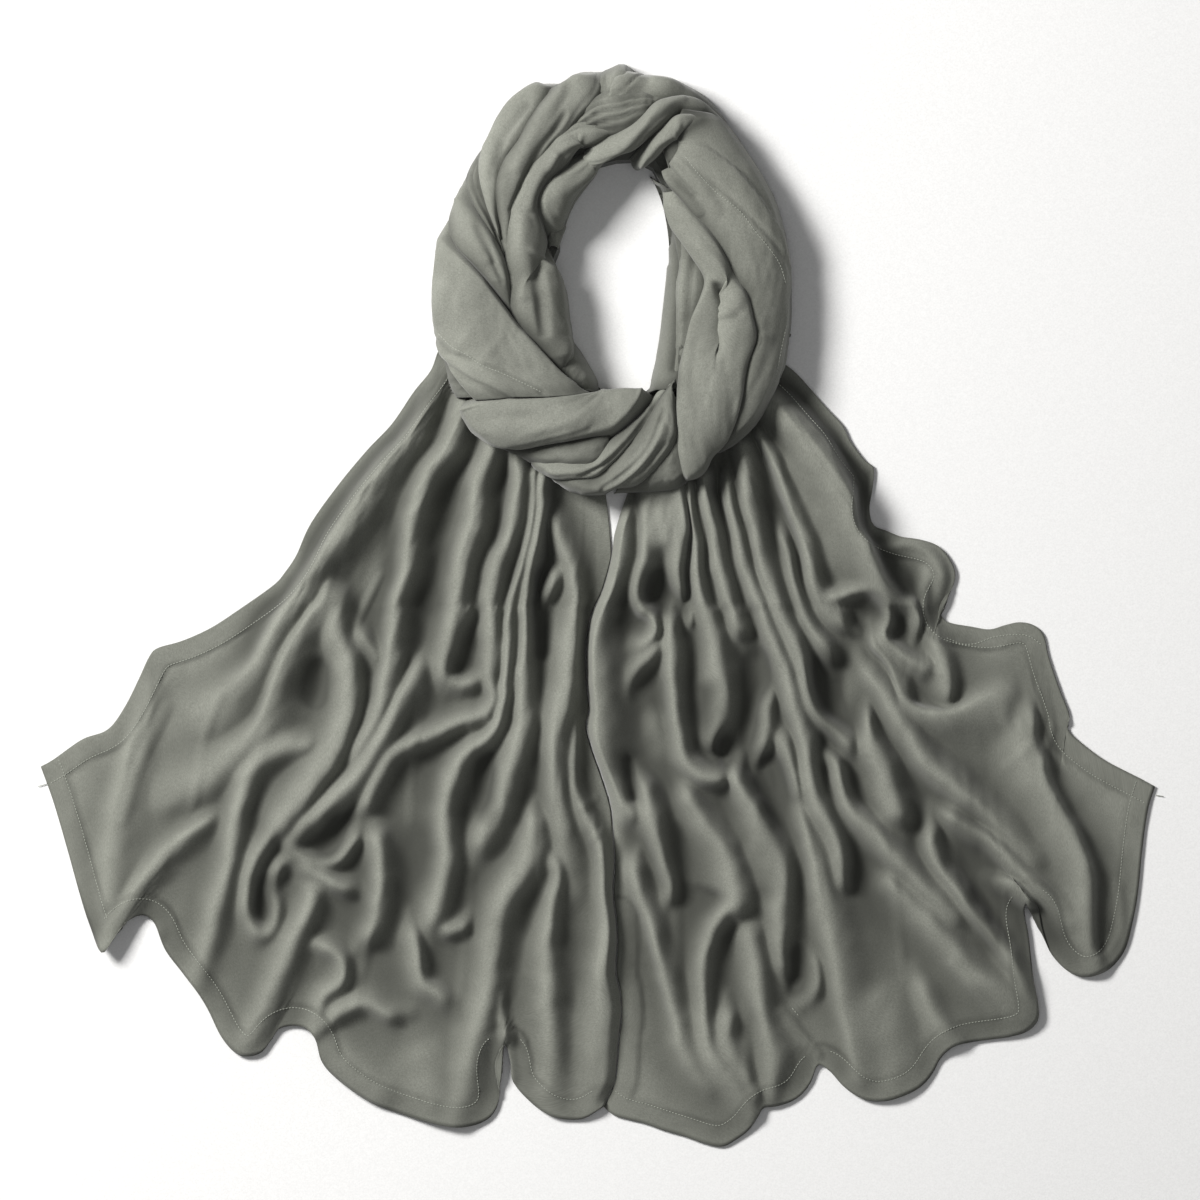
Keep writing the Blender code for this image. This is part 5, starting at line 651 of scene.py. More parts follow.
def ring_surface(x, y):
    """Height of the wound ring, its shade of lift at the rim, and the plan pulled in to its two edges."""
    rim, rim_x, rim_y, hole, hole_x, hole_y = ring_edges(x, y)
    out_rim, out_hole = rim < 0.2, hole < 0.2
    x = np.where(out_rim, rim_x, np.where(out_hole, hole_x, x))
    y = np.where(out_rim, rim_y, np.where(out_hole, hole_y, y))
    beyond = np.maximum(np.maximum(-rim, -hole), 0)
    by_rim = 1 - np.clip(rim, 0, RING_ROUNDING) / RING_ROUNDING
    by_hole = 1 - np.clip(hole, 0, RING_ROUNDING) / RING_ROUNDING
    lift = rim_lift(x, y)
    at_rim = lift + (RING_HEIGHT - lift) * np.sqrt(np.maximum(0, 1 - by_rim ** 2))
    at_hole = RING_HEIGHT * np.sqrt(np.maximum(0, 1 - by_hole ** 2))
    height = np.minimum(at_rim, at_hole)
    edge = np.maximum(np.minimum(rim, hole), 0)
    for cx, cy, length, width, lean, depth in RING_HOLLOWS:
        turn = math.radians(lean)
        along = (x - cx) * math.sin(turn) + (y - cy) * math.cos(turn)
        across = (x - cx) * math.cos(turn) - (y - cy) * math.sin(turn)
        height -= depth * np.exp(-(along / length) ** 2 - (across / width) ** 2) * np.clip(edge / 8, 0, 1)
    return x, y, np.maximum(height, 0), edge, beyond


def faded(crest, borders):
    """A crest whose height dies away at each end that doesn't reach a border of the cloth."""
    run = np.concatenate([[0], np.cumsum(np.hypot(*np.diff(crest[:, :2], axis=0).T))])
    for end, away in ((0, run), (-1, run[-1] - run)):
        if np.hypot(*(borders - crest[end, :2]).T).min() < 16:
            continue
        share = np.clip(away / min(FOLD_FADE, 0.4 * run[-1]), 0, 1)
        crest[:, 2] *= 0.4 + 0.6 * share * share * (3 - 2 * share)
    return crest


def along_crest(crest, x, y):
    """Distance from each point to a crest, which side it lies on (-1 to 1) and the crest's row read there."""
    start, step = crest[:-1, :2], np.diff(crest[:, :2], axis=0)
    square = (step ** 2).sum(axis=1) + 1e-9
    gap_x, gap_y = x[:, None] - start[:, 0], y[:, None] - start[:, 1]
    t = np.clip((gap_x * step[:, 0] + gap_y * step[:, 1]) / square, 0, 1)
    away = np.hypot(gap_x - t * step[:, 0], gap_y - t * step[:, 1])
    near = away.argmin(axis=1)[:, None]
    t = np.take_along_axis(t, near, 1)
    row = crest[near[:, 0]] * (1 - t) + crest[near[:, 0] + 1] * t
    tangent = np.gradient(crest[:, :2], axis=0)
    way = tangent[near[:, 0]] * (1 - t) + tangent[near[:, 0] + 1] * t
    way /= np.maximum(np.hypot(way[:, 0], way[:, 1])[:, None], 1e-9)
    gap = np.take_along_axis(away, near, 1)[:, 0]
    side = way[:, 0] * (y - row[:, 1]) - way[:, 1] * (x - row[:, 0])
    return gap, np.clip(side / np.maximum(gap, 0.6), -1, 1), row, way


def folds_at(folds, x, y, added=False, borders=None):
    """Height of the folds at each point and the way their crests lean; added folds are summed as they are."""
    total, lean_x, lean_y, weight = (np.zeros(x.shape) for _ in range(4))
    for fold in folds:
        crest = smooth_rows(fold, 5 * len(fold))
        if borders is not None:
            crest = faded(crest, borders)
        widest = (1.6 if added else 5.5) * crest[:, 3:5].max()
        low, high = crest[:, :2].min(axis=0) - widest, crest[:, :2].max(axis=0) + widest
        close = (x > low[0]) & (x < high[0]) & (y > low[1]) & (y < high[1])
        if not close.any():
            continue
        gap, side, row, way = along_crest(crest, x[close], y[close])
        right = 0.5 + 0.5 * side
        width = row[:, 3] * (1 - right) + row[:, 4] * right
        if added:
            total[close] += row[:, 2] * (1 - np.clip(gap / width / 1.5, 0, 1) ** 2) ** 2
            continue
        tube = np.exp(-(gap / (FOLD_SPREAD * width)) ** FOLD_FULLNESS)
        skirt = np.exp(-np.sqrt((gap / width) ** 2 + 0.5) / SKIRT_SPREAD)
        bump = row[:, 2] * (tube * (1 - SKIRT_SHARE) + skirt * SKIRT_SHARE)
        share = bump ** FOLD_SHARPNESS
        uneven = (row[:, 3] - row[:, 4]) / (row[:, 3] + row[:, 4])
        total[close] += share
        weight[close] += share
        lean_x[close] += -way[:, 1] * uneven * share
        lean_y[close] += way[:, 0] * uneven * share
    if added:
        return total
    weight = np.maximum(weight, 1e-6)
    return total ** (1 / FOLD_SHARPNESS), lean_x / weight, lean_y / weight


def normals_of(points):
    """Upward normals of a grid of points."""
    facing = np.cross(np.gradient(points, axis=0), np.gradient(points, axis=1))
    facing /= np.maximum(np.linalg.norm(facing, axis=-1, keepdims=True), 1e-9)
    return np.where(np.median(facing[..., 2]) < 0, -facing, facing)


def grid_lengths(points):
    """Running lengths along the rows and the columns of a grid of points, for the weave."""
    along = np.linalg.norm(np.diff(points, axis=0), axis=-1)
    across = np.linalg.norm(np.diff(points, axis=1), axis=-1)
    v = np.vstack([np.zeros(points.shape[1]), np.cumsum(along, axis=0)])
    u = np.column_stack([np.zeros(points.shape[0]), np.cumsum(across, axis=1)])
    return u - u[:, u.shape[1] // 2][:, None], v


def sheet_piece(name, top, under, finish, painted_shade):
    """One thin closed cloth from a grid of upper points and a grid of lower points."""
    rows, columns = top.shape[:2]
    points = np.concatenate([top.reshape(-1, 3), under.reshape(-1, 3)]) * MM
    order = np.arange(rows * columns).reshape(rows, columns)
    a, b, c, d = order[:-1, :-1], order[:-1, 1:], order[1:, 1:], order[1:, :-1]
    upper = np.stack([a, b, c, d], axis=-1).reshape(-1, 4)
    lower = upper[:, ::-1] + rows * columns
    rim = np.concatenate([order[0, :], order[1:, -1], order[-1, -2::-1], order[-2:0:-1, 0]])
    ahead = np.roll(rim, -1)
    wall = np.stack([ahead, rim, rim + rows * columns, ahead + rows * columns], axis=-1)
    faces = np.concatenate([upper, lower, wall])
    corner = points[faces]
    volume = np.einsum("ij,ij->i", corner[:, 0], np.cross(corner[:, 1], corner[:, 2])).sum()
    volume += np.einsum("ij,ij->i", corner[:, 0], np.cross(corner[:, 2], corner[:, 3])).sum()
    if volume < 0:
        faces = faces[:, ::-1]
    mesh = bpy.data.meshes.new(name)
    mesh.from_pydata(points.tolist(), [], faces.tolist())
    u, v = grid_lengths(top)
    flat = np.tile(np.stack([u, v], axis=-1).reshape(-1, 2) * MM, (2, 1))
    layer = mesh.uv_layers.new(name="weave")
    layer.data.foreach_set("uv", flat[faces.reshape(-1)].astype(np.float32).reshape(-1))
    # Painted shade on each point, which darkens the cloth's colour; it also holds a little random tone.
    shade = mesh.attributes.new("painted_shade", "FLOAT", "POINT")
    shade.data.foreach_set("value", np.tile(painted_shade.reshape(-1), 2).astype(np.float32))
    mesh.polygons.foreach_set("use_smooth", np.ones(len(faces), bool))
    mesh.materials.append(finish)
    piece = bpy.data.objects.new(name, mesh)
    piece["grid"] = (rows, columns)
    bpy.context.scene.collection.objects.link(piece)
    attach(piece, "root")
    return piece


def evened(line):
    """The same line with its small waves smoothed away and its ends kept."""
    soft = line.copy()
    for _ in range(3 * 65):
        soft[1:-1] = (soft[:-2] + 2 * soft[1:-1] + soft[2:]) / 4
    return soft


def tail_plan(root, hem, left_side, right_side):
    """Where each column and row of a loose end lies: a fan between its root and its hem."""
    u = np.linspace(0, 1, TAIL_COLUMNS + 1)[None, :, None]
    v = (np.linspace(0, 1, TAIL_ROWS + 1) ** 0.95)[:, None, None]
    top_edge = smooth_rows(root, TAIL_COLUMNS + 1)
    low_edge = smooth_rows(hem, TAIL_COLUMNS + 1)
    coarse = np.linspace(0, 1, 65)
    fine = np.linspace(0, 1, TAIL_COLUMNS + 1)
    soft = evened(smooth_rows(hem, 65))
    soft_low = np.column_stack([np.interp(fine, coarse, soft[:, k]) for k in (0, 1)])
    sides = []
    for side in (left_side, right_side):
        line = smooth_rows(side, 1600)
        sides.append(line[np.round(v[:, 0, 0] * 1599).astype(int)])
    fan = top_edge[None] * (1 - v) + soft_low[None] * v
    fan = fan + (low_edge - soft_low)[None] * v ** 6
    for side, weight, column in ((sides[0], (1 - u) ** 5, 0), (sides[1], u ** 5, -1)):
        fan = fan + (side - fan[:, column])[:, None, :] * weight
    return fan


def distance_to_line(line, x, y):
    """How far each point is from an open line."""
    best = np.full(x.shape, np.inf)
    for (ax, ay), (bx, by) in zip(line[:-1], line[1:]):
        span = (bx - ax) ** 2 + (by - ay) ** 2 + 1e-9
        t = np.clip(((x - ax) * (bx - ax) + (y - ay) * (by - ay)) / span, 0, 1)
        best = np.minimum(best, np.hypot(x - ax - t * (bx - ax), y - ay - t * (by - ay)))
    return best


def loose_end(name, root, hem, left_side, right_side, folds, creases, hemmed, outer, seed):
    """One loose end of the scarf: a thin cloth with its folds, fine creases and turned hem."""
    plan = tail_plan(root, hem, left_side, right_side)
    x, y = plan[..., 0], plan[..., 1]
    wave_x = x + 1.6 * soft_noise(x, y, 26, seed) + 0.7 * soft_noise(x, y, 9, seed + 1)
    wave_y = y + 1.6 * soft_noise(x, y, 28, seed + 2)
    borders = np.concatenate([plan[0], plan[-1], plan[:, 0], plan[:, -1]])
    rise, lean_x, lean_y = folds_at(folds, wave_x, wave_y, borders=borders)
    flat_side = distance_to_line(plan[::4, outer], x, y)
    rise *= 0.2 + 0.8 * np.clip(flat_side / SIDE_FLAT, 0, 1) ** 1.5
    rise, lean_x, lean_y = smoothed(rise, 1, 2), smoothed(lean_x, 3, 8), smoothed(lean_y, 3, 8)
    rise *= FOLD_GAIN * (1 + 0.06 * soft_noise(x, y, 40, seed + 3))
    u = np.linspace(0, 1, TAIL_COLUMNS + 1)[None, :] * 520 + 0 * x
    v = np.linspace(0, 1, TAIL_ROWS + 1)[:, None] * 420 + 0 * x
    slack = 0.35 + 0.65 * np.clip(rise / 12, 0, 1)
    rise += slack * (0.55 * soft_noise(u, v, 11, seed + 4) + 0.16 * soft_noise(u, v / 2, 9, seed + 5))
    dent = folds_at(creases, x, y, added=True)
    rise += dent
    edge = np.full(x.shape, np.inf)
    for line in hemmed:
        edge = np.minimum(edge, distance_to_line(smooth_rows(line, 6 * len(line)), x, y))
    turned = np.clip((HEM_WIDTH - edge) / 1.4, 0, 1)
    inner_side = distance_to_line(plan[::4, -1 - outer], x, y)
    rise *= np.sqrt(np.clip(inner_side / INNER_ROLL, 0, 1))
    pucker = 0.35 * soft_noise(u, v, 4.5, seed + 6) * np.exp(-((edge - HEM_WIDTH) / 7) ** 2)
    rise = CLOTH + np.maximum(rise + HEM_RISE * turned + pucker, 0)
    shift = FOLD_LEAN * np.clip(rise - 3, 0, None)
    inward = np.clip(edge / 12, 0, 1)
    top = np.dstack([x + lean_x * shift * inward, y + lean_y * shift * inward, rise])
    under = top - normals_of(top) * CLOTH
    under[..., 2] = np.clip(under[..., 2], 0, None)
    top[..., 2] = np.maximum(top[..., 2], under[..., 2] + 0.3)
    # Painted shade: darker in the hollows below the nearby crests, with a little random tone.
    brim = smoothed(widened(rise, 6, 11), 24, 49)
    # Painted shade on the doubled hem.
    shade = np.clip((brim - rise) / HOLLOW_DEPTH, 0, 1) + HEM_SHADE * turned
    # Painted shade in the troughs of the fine creases.
    shade += CREASE_SHADE * np.clip(-dent / CREASE_DEPTH, 0, 1)
    # Painted shade: a dark line at the hem's inner side and at the cloth's edge.
    shade += HEM_LINE_SHADE * np.exp(-((edge - HEM_WIDTH) / HEM_LINE) ** 2)
    shade += HEM_LINE_SHADE * np.clip(1 - edge / HEM_LINE, 0, 1)
    shade += 0.07 * soft_noise(x, y, 30, seed + 7)
    return sheet_piece(name, top, under, cloth, np.clip(shade, 0, 1))


def widened(values, down, across):
    """The highest value near each place of a grid, within so many cells down and across."""
    for steps, axis in ((down, 0), (across, 1)):
        values = np.moveaxis(values, axis, 0).copy()
        for _ in range(steps):
            values[1:-1] = np.maximum(np.maximum(values[:-2], values[2:]), values[1:-1])
        values = np.moveaxis(values, 0, axis)
    return values


def smoothed(values, down, across):
    """A grid of values with its small waves smoothed away, by so many passes down and across."""
    for passes, axis in ((down, 0), (across, 1)):
        values = np.moveaxis(values, axis, 0).copy()
        for _ in range(passes):
            values[1:-1] = (values[:-2] + 2 * values[1:-1] + values[2:]) / 4
        values = np.moveaxis(values, 0, axis)
    return values


def under_neighbours(name, layer, x, y):
    """How deep in the shade of higher stretches each point of a stretch lies, from 0 to 1, for the painted
    shade in its colour.
    """
    shade = np.zeros(x.shape)
    passed = False
    for other, (height, _, rows) in STRETCHES.items():
        if other == name:
            passed = True
            continue
        if height < layer or (height == layer and not passed):
            continue
        sides = smooth_rows(rows, 36)
        corners = np.array(rows).reshape(-1, 2)
        low, high = corners.min(axis=0) - SHADE_REACH, corners.max(axis=0) + SHADE_REACH
        close = (x > low[0]) & (x < high[0]) & (y > low[1]) & (y < high[1])
        if not close.any():
            continue
        step = min(1.0, 0.5 + 0.25 * (height - layer))
        for side in (sides[:, :2], sides[:, 2:]):
            gap = distance_to_line(side, x[close], y[close])
            shade[close] = np.maximum(shade[close], step * np.exp(-(gap / GROOVE_WIDTH) ** 1.5))
    return shade


def ring_stretch(name, layer, bulge, rows):
    """A stretch of the wound ring, with rolled edges that tuck in over the layer below."""
    rows = [np.asarray(row, float) for row in rows]
    for end, step in ((0, rows[0] - rows[1]), (len(rows), rows[-1] - rows[-2])):
        tip = rows[0] if end == 0 else rows[-1]
        if np.hypot(*(tip[:2] - tip[2:])) > 9:
            rows.insert(end, tip + step / np.hypot(*step[:2]) * 6)
    middles = np.array([(row[:2] + row[2:]) / 2 for row in rows])
    run = np.hypot(*np.diff(middles, axis=0).T).sum()
    widest = max(np.hypot(*(row[:2] - row[2:])) for row in rows)
    steps = int(np.clip(run / STRETCH_ROW, *STRETCH_ROWS))
    cells = int(np.clip(widest / STRETCH_CELL, *STRETCH_CELLS))
    sections = smooth_rows(rows, steps + 1)
    outer, inner = sections[:, None, :2], sections[:, None, 2:]
    width = np.maximum(np.linalg.norm(inner - outer, axis=-1), 0.5)
    spare = 1.0 + 1.7 * (3 - max(layer, 0))
    t = np.linspace(0, 1, cells + 1)
    t = 0.6 * t + 0.4 * (1 - np.cos(math.pi * t)) / 2
    inset = -spare + (width + 2 * spare) * t[None]
    plan = outer + (inner - outer) * (inset / width)[..., None]
    x, y, height, edge, beyond = ring_surface(plan[..., 0], plan[..., 1])
    flat = np.dstack([x, y, height])
    facing = normals_of(flat)
    inside = np.clip(edge / LAYER_RUN, 0, 1)
    share = np.clip(inset / width, 0, 1)
    near = np.minimum(inset, width - inset)
    roll = 1 - np.clip((near + spare - 0.6) / ROLL, 0, 1)
    roll = np.sqrt(np.maximum(0, 1 - roll ** 2))
    arch = 1.8 * bulge * (4 * share * (1 - share)) ** 0.6
    taper = np.clip(width / TAPER_WIDTH, TAPER_LEAST, 1)
    swell = (layer * LAYER_STEP + arch + ROLL) * taper * (0.25 + 0.75 * inside) * roll - 1.5 * (1 - roll)
    along = np.linspace(0, 1, steps + 1)[:, None] * 260 + 0 * x
    number = sum(map(ord, name))
    swell += inside * roll * (0.5 * soft_noise(inset * 1.6, along / 4, 7, number)
                              + 0.25 * soft_noise(inset, along / 3, 3.2, number + 1))
    crease = CREASE_GAIN * folds_at(RING_CREASES.get(name, ()), x, y, added=True) * roll
    swell += crease
    top = flat + facing * swell[..., None]
    top[..., 2] -= np.clip(beyond * 3, 0, 9)
    top[..., 2] = np.maximum(top[..., 2], CLOTH)
    under = top - facing * CLOTH
    under[..., 2] = np.clip(under[..., 2], 0, None)
    # Painted shade of the ring: some over all of it, more along a stretch's edges, beside higher stretches,
    # in creases, towards the rim and hole and on the rolled edges, with a little random tone.
    close = np.clip(1 - (near + spare) / EDGE_SHADE_WIDTH, 0, 1)
    low = np.clip(1 - layer / 4, 0.1, 1)
    shade = RING_SHADE + 0.12 * soft_noise(inset, along / 3, 11, number + 2) + EDGE_SHADE * close * low
    shade += GROOVE_SHADE * under_neighbours(name, layer, x, y)
    shade += CREASE_SHADE * np.clip(-crease / CREASE_DEPTH, 0, 1) + 0.25 * (1 - inside)
    shade = np.clip(np.maximum(shade, (1 - roll * (0.7 + 0.3 * inside)) * (0.4 + 0.6 * low)), 0, 1)
    return sheet_piece(name + "_cloth", top, under, cloth, shade)


def between(outline, first, last):
    """The part of a closed outline from one corner to another, going forward."""
    places = list(outline)
    start, end = places.index(first), places.index(last)
    if end < start:
        places = places + places
        end += len(outline)
    return places[start:end + 1]


def moved_out(line, shift):
    """A line moved sideways, to the left of the way it runs."""
    line = np.asarray(line, float)
    step = np.gradient(line, axis=0)
    step /= np.maximum(np.hypot(step[:, 0], step[:, 1])[:, None], 1e-9)
    return line + np.column_stack([-step[:, 1], step[:, 0]]) * shift


class Value:
    """One output of a shader node; sums and products of values add their own Math nodes."""

    def __init__(self, finish, socket):
        self.finish = finish
        self.socket = socket

    def maths(self, operation, first, second):
        return self.finish.node("ShaderNodeMath", {"operation": operation}, {0: first, 1: second})

    def __add__(self, other):
        return self.maths("ADD", self, other)

    def __mul__(self, other):
        return self.maths("MULTIPLY", self, other)

    def __sub__(self, other):
        return self.maths("SUBTRACT", self, other)

    def __rsub__(self, other):
        return self.maths("SUBTRACT", other, self)

    __radd__ = __add__
    __rmul__ = __mul__


class Finish:
    """A material, put together node by node."""

    def __init__(self, name):
        self.material = bpy.data.materials.new(name)
        self.material.use_nodes = True
        self.tree = self.material.node_tree
        self.shader = self.tree.nodes["Principled BSDF"]

    def node(self, kind, settings=(), sockets=(), output=0):
        made = self.tree.nodes.new(kind)
        for key, value in dict(settings).items():
            if key == "stops":
                for stop, (place, colour) in zip(made.color_ramp.elements, value):
                    stop.position = place
                    stop.color = colour
            else:
                setattr(made, key, value)
        for key, value in dict(sockets).items():
            self.join(value, made.inputs[key])
        return Value(self, made.outputs[output])

    def join(self, value, socket):
        if isinstance(value, Value):
            self.tree.links.new(value.socket, socket)
        else:
            socket.default_value = value

    def surface(self, **sockets):
        for key, value in sockets.items():
            self.join(value, self.shader.inputs[key.replace("_", " ")])


def scarf_cloth(name, deep, light, unrolled=True):
    """Fine matt crepe: uneven threads both ways, a soft mottle and a dull sheen, darkened by the painted
    shade kept on each piece.
    """
    made = Finish(name)
    place = made.node("ShaderNodeTexCoord", output=3)
    weave = made.node("ShaderNodeUVMap", {"uv_map": "weave"}) if unrolled else place
    threads = []
    for stretch, scale in (((1.0, 0.3, 1.0), 1500.0), ((0.3, 1.0, 1.0), 1500.0)):
        turned = made.node("ShaderNodeMapping", {}, {"Vector": weave, "Scale": stretch})
        threads.append(made.node("ShaderNodeTexNoise", {}, {
            "Vector": turned, "Scale": scale, "Detail": 2.0, "Roughness": 0.6}))
    slub = threads[0] * 0.5 + threads[1] * 0.5
    mottle = made.node("ShaderNodeTexNoise", {}, {
        "Vector": place, "Scale": 70.0, "Detail": 3.0, "Roughness": 0.6})
    tone = 0.5 + (slub - 0.5) * 1.5 + (mottle - 0.5) * 0.3
    colour = made.node("ShaderNodeValToRGB", {"stops": ((0.3, deep), (0.7, light))}, {"Fac": tone})
    # Painted shade: the colour is mixed towards a quarter of the deep tone by each point's painted shade.
    painted_shade = made.node("ShaderNodeAttribute", {"attribute_name": "painted_shade"}, output=2)
    colour = made.node("ShaderNodeMix", {"data_type": "RGBA"}, {
        0: painted_shade * 0.92, 6: colour, 7: tuple(0.25 * part for part in deep[:3]) + (1.0,)}, output=2)
    bump = made.node("ShaderNodeBump", {}, {"Strength": 0.6, "Distance": 0.0003, "Height": slub})
    made.surface(Base_Color=colour, Normal=bump, Roughness=0.82 + mottle * 0.1)
    made.surface(IOR=1.45, Specular_IOR_Level=0.25, Sheen_Weight=0.25, Sheen_Roughness=0.45)
    return made.material


def plain_finish(name, colour, rough):
    made = Finish(name)
    place = made.node("ShaderNodeTexCoord", output=3)
    grain = made.node("ShaderNodeTexNoise", {}, {"Vector": place, "Scale": 900.0, "Detail": 2.0})
    shade = made.node("ShaderNodeMix", {"data_type": "RGBA"}, {0: grain, 6: colour, 7: tuple(
        0.8 * part for part in colour[:3]) + (1.0,)}, output=2)
    made.surface(Base_Color=shade, Roughness=rough)
    return made.material


def stitch_rows(name, lines, pieces, strays=(), pitch=2.25, length=1.6, gauge=0.3):
    """Small stitches along seam lines, laid on the cloth below them."""
    trees = []
    for piece in pieces:
        mesh = piece.data
        trees.append(BVHTree.FromPolygons([v.co[:] for v in mesh.vertices],
                                          [p.vertices[:] for p in mesh.polygons]))
    points, faces = [], []
    for line in lines:
        run = np.hypot(*np.diff(np.asarray(line, float), axis=0).T).sum()
        fine = smooth_rows(line, max(3, round(run / pitch) * 2 + 1))
        for k in range(0, len(fine) - 1, 2):
            ends = []
            for plan in (fine[k], fine[k] + (fine[k + 1] - fine[k]) * (length / pitch * 2)):
                hits = [tree.ray_cast(Vector((*(plan * MM), 0.2)), Vector((0, 0, -1))) for tree in trees]
                hits = [hit for hit in hits if hit[0] is not None]
                if hits:
                    ends.append(max(hits, key=lambda hit: hit[0].z))
            if len(ends) < 2 or (ends[0][0] - ends[1][0]).length > 3 * length * MM:
                continue
            lay_stitch(points, faces, ends[0], ends[1], gauge * MM)
    for ax, ay, bx, by in strays:
        start, end = (Vector((*(np.array(plan) * MM), 0.5 * MM)) for plan in ((ax, ay), (bx, by)))
        lay_stitch(points, faces, (start, Vector((0, 0, 1))), (end, Vector((0, 0, 1))), gauge * MM)
    mesh = bpy.data.meshes.new(name)
    mesh.from_pydata(points, [], faces)
    mesh.polygons.foreach_set("use_smooth", np.ones(len(faces), bool))
    mesh.materials.append(thread)
    piece = bpy.data.objects.new(name, mesh)
    bpy.context.scene.collection.objects.link(piece)
    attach(piece, "root")
    return piece


def hem_seams(outline, inside, depth):
    """The seam of a hem: the outline moved inwards, left out where it bends too tightly."""
    run = np.hypot(*np.diff(np.asarray(outline, float), axis=0).T).sum()
    line = smooth_rows(outline, int(run / 2.5))
    soft = line.copy()
    for _ in range(14):
        soft[1:-1] = (soft[:-2] + 2 * soft[1:-1] + soft[2:]) / 4
    moved = min((moved_out(soft, way * depth) for way in (-1, 1)),
                key=lambda m: np.hypot(m[:, 0] - inside[0], m[:, 1] - inside[1]).mean())
    clear = distance_to_line(line, moved[:, 0], moved[:, 1]) > 0.8 * depth
    seams, start = [], None
    for k, good in enumerate([*clear, False]):
        if good and start is None:
            start = k
        elif not good and start is not None:
            if k - start > 6:
                seams.append(moved[start:k])
            start = None
    return seams


def lay_stitch(points, faces, start, end, radius):
    """One stitch: a short six-sided thread that dips into the cloth at both ends."""
    way = (end[0] - start[0]).normalized()
    up = (start[1] + end[1]).normalized()
    if up.z < 0:
        up = -up
    side = way.cross(up).normalized()
    first = len(points)
    for share, lift, size in ((0, -0.2, 0.55), (0.2, 0.35, 0.95), (0.8, 0.35, 0.95), (1, -0.2, 0.55)):
        middle = start[0].lerp(end[0], share) + up * radius * lift
        for k in range(6):
            turn = math.pi * k / 3
            point = middle + (side * math.cos(turn) + up * math.sin(turn)) * radius * size
            points.append(point[:])
    for ring in range(3):
        for k in range(6):
            a, b = first + 6 * ring + k, first + 6 * ring + (k + 1) % 6
            faces.append((a, b, b + 6, a + 6))
    faces.append(tuple(first + k for k in range(5, -1, -1)))
    faces.append(tuple(first + 18 + k for k in range(6)))


def laid_sheet(piece):
    """Takes the count of grid rows and columns off a piece again."""
    del piece["grid"]


def studio():
    """A pale floor, a wide soft light from the upper left, a weak fill, and the camera straight above."""
    bpy.ops.object.select_all(action="DESELECT")
    bpy.ops.mesh.primitive_grid_add(x_subdivisions=4, y_subdivisions=4, size=12, location=(0, 0, -0.0005))
    floor = bpy.context.object
    floor.name = "floor"
    bpy.ops.object.transform_apply(location=True)
    floor.data.materials.append(plain_finish("pale_floor", (0.91, 0.91, 0.91, 1.0), 0.9))
    for name, place, size, power, tint in (
            ("window", (-2.1, 1.3, 2.2), 1.0, 170.0, (1.0, 0.99, 0.97)),
            ("ceiling", (0.3, -0.3, 3.2), 2.0, 10.0, (0.98, 0.99, 1.0))):
        light = bpy.data.lights.new(name, "AREA")
        light.size = size
        light.energy = power
        light.color = tint
        lamp = bpy.data.objects.new(name, light)
        lamp.location = place
        aim = Vector((0.0, 0.0, 0.0)) - Vector(place)
        lamp.rotation_euler = aim.to_track_quat("-Z", "Y").to_euler()
        bpy.context.scene.collection.objects.link(lamp)
    world = bpy.data.worlds.new("studio")
    world.use_nodes = True
    world.node_tree.nodes["Background"].inputs["Color"].default_value = (1.0, 1.0, 1.0, 1.0)
    world.node_tree.nodes["Background"].inputs["Strength"].default_value = 0.16
    bpy.context.scene.world = world
    view = bpy.data.cameras.new("above")
    view.sensor_width = 36.0
    view.lens = 36.0 * 8.0 / 0.84
    eye = bpy.data.objects.new("above", view)
    eye.location = (0.00245, 0.00455, 8.0)
    bpy.context.scene.collection.objects.link(eye)
    bpy.context.scene.camera = eye
    bpy.context.scene.view_settings.view_transform = "Standard"


studio()
cloth = scarf_cloth("scarf_cloth_weave", (0.175, 0.181, 0.156, 1.0), (0.26, 0.267, 0.235, 1.0))
thread = plain_finish("sewing_thread", (0.34, 0.355, 0.31, 1.0), 0.6)

ring_pieces = {}
for name, (layer, bulge, rows) in STRETCHES.items():
    ring_pieces[name] = ring_stretch(name, layer, bulge, rows)
    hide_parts(name)

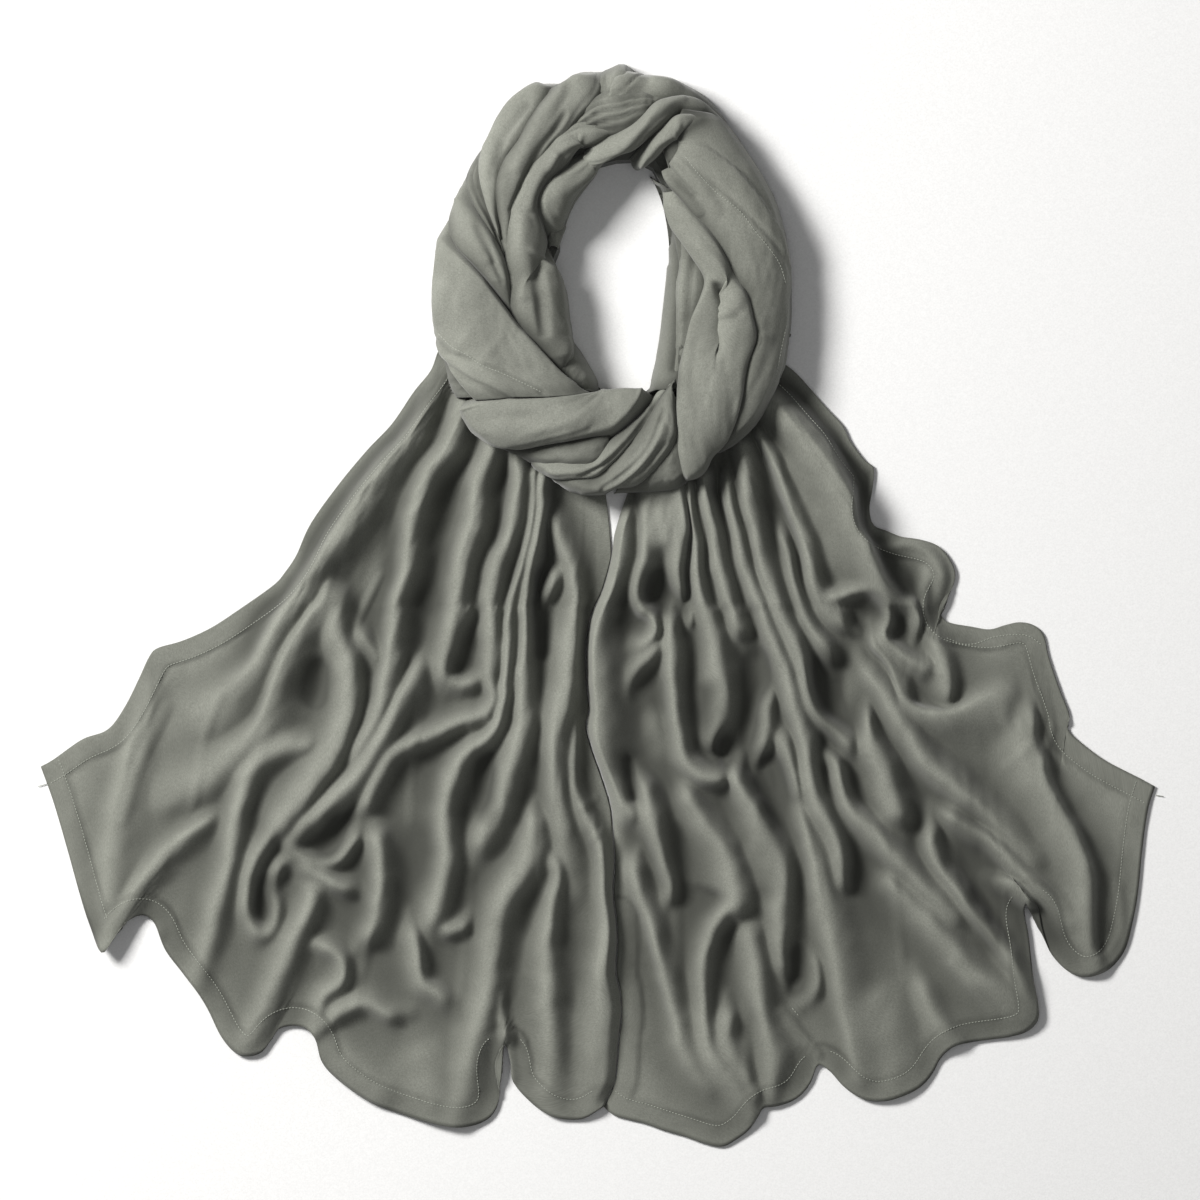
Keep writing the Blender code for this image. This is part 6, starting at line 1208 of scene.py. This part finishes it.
left_root = moved_out(between(RING_OUTLINE, (8, 79), (-110, 180))[::-1], TUCK)
left_outer = [tuple(left_root[0])] + list(LEFT_OUTER_SIDE)
left_inner = [tuple(left_root[-1])] + [(a - 0.4, b) for a, b in LEFT_INNER_SIDE]
left_hem = [*LEFT_HEM[:-1], left_inner[-1]]
left = loose_end("left_end", left_root, left_hem, left_outer, left_inner, LEFT_FOLDS, LEFT_CREASES,
                 (LEFT_OUTER_SIDE, LEFT_HEM), 0, 11)
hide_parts("left_tail")

right_root = moved_out(between(RING_OUTLINE, (131, 170), (26, 80))[::-1], TUCK)
right_root = right_root[::-1] if right_root[0][0] > right_root[-1][0] else right_root
right_inner = [tuple(right_root[0])] + list(RIGHT_INNER_SIDE)
right_outer = [tuple(right_root[-1])] + list(RIGHT_OUTER_SIDE)
right = loose_end("right_end", right_root, RIGHT_HEM, right_inner, right_outer, RIGHT_FOLDS, RIGHT_CREASES,
                  (RIGHT_OUTER_SIDE, RIGHT_HEM, MEETING_LINE[16:]), -1, 41)
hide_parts("right_tail")

# The ring's inner layers: the same cloth, painted far darker as painted shade for the shadowed gaps between
# the stretches.
core = bpy.data.objects["ring_core"]
core.data.materials.clear()
core.data.materials.append(scarf_cloth("inner_layers_weave_painted_shade", (0.05, 0.052, 0.046, 1.0),
                                       (0.08, 0.083, 0.074, 1.0), unrolled=False))

ring_stitches = stitch_rows("ring_stitches", RING_SEAMS, list(ring_pieces.values()))
left_seams = [seam for outline in (LEFT_OUTER_SIDE, LEFT_HEM)
              for seam in hem_seams(outline, LEFT_INSIDE, SEAM_DEPTH)]
right_seams = [seam for outline in (RIGHT_OUTER_SIDE, RIGHT_HEM)
               for seam in hem_seams(outline, RIGHT_INSIDE, SEAM_DEPTH)]
left_stitches = stitch_rows("left_stitches", left_seams, [left], STRAY_THREADS[:1])
right_stitches = stitch_rows("right_stitches", [*right_seams, *RIGHT_SEAMS], [right], STRAY_THREADS[1:])
for name, piece in ring_pieces.items():
    laid_sheet(piece)
laid_sheet(left)
laid_sheet(right)
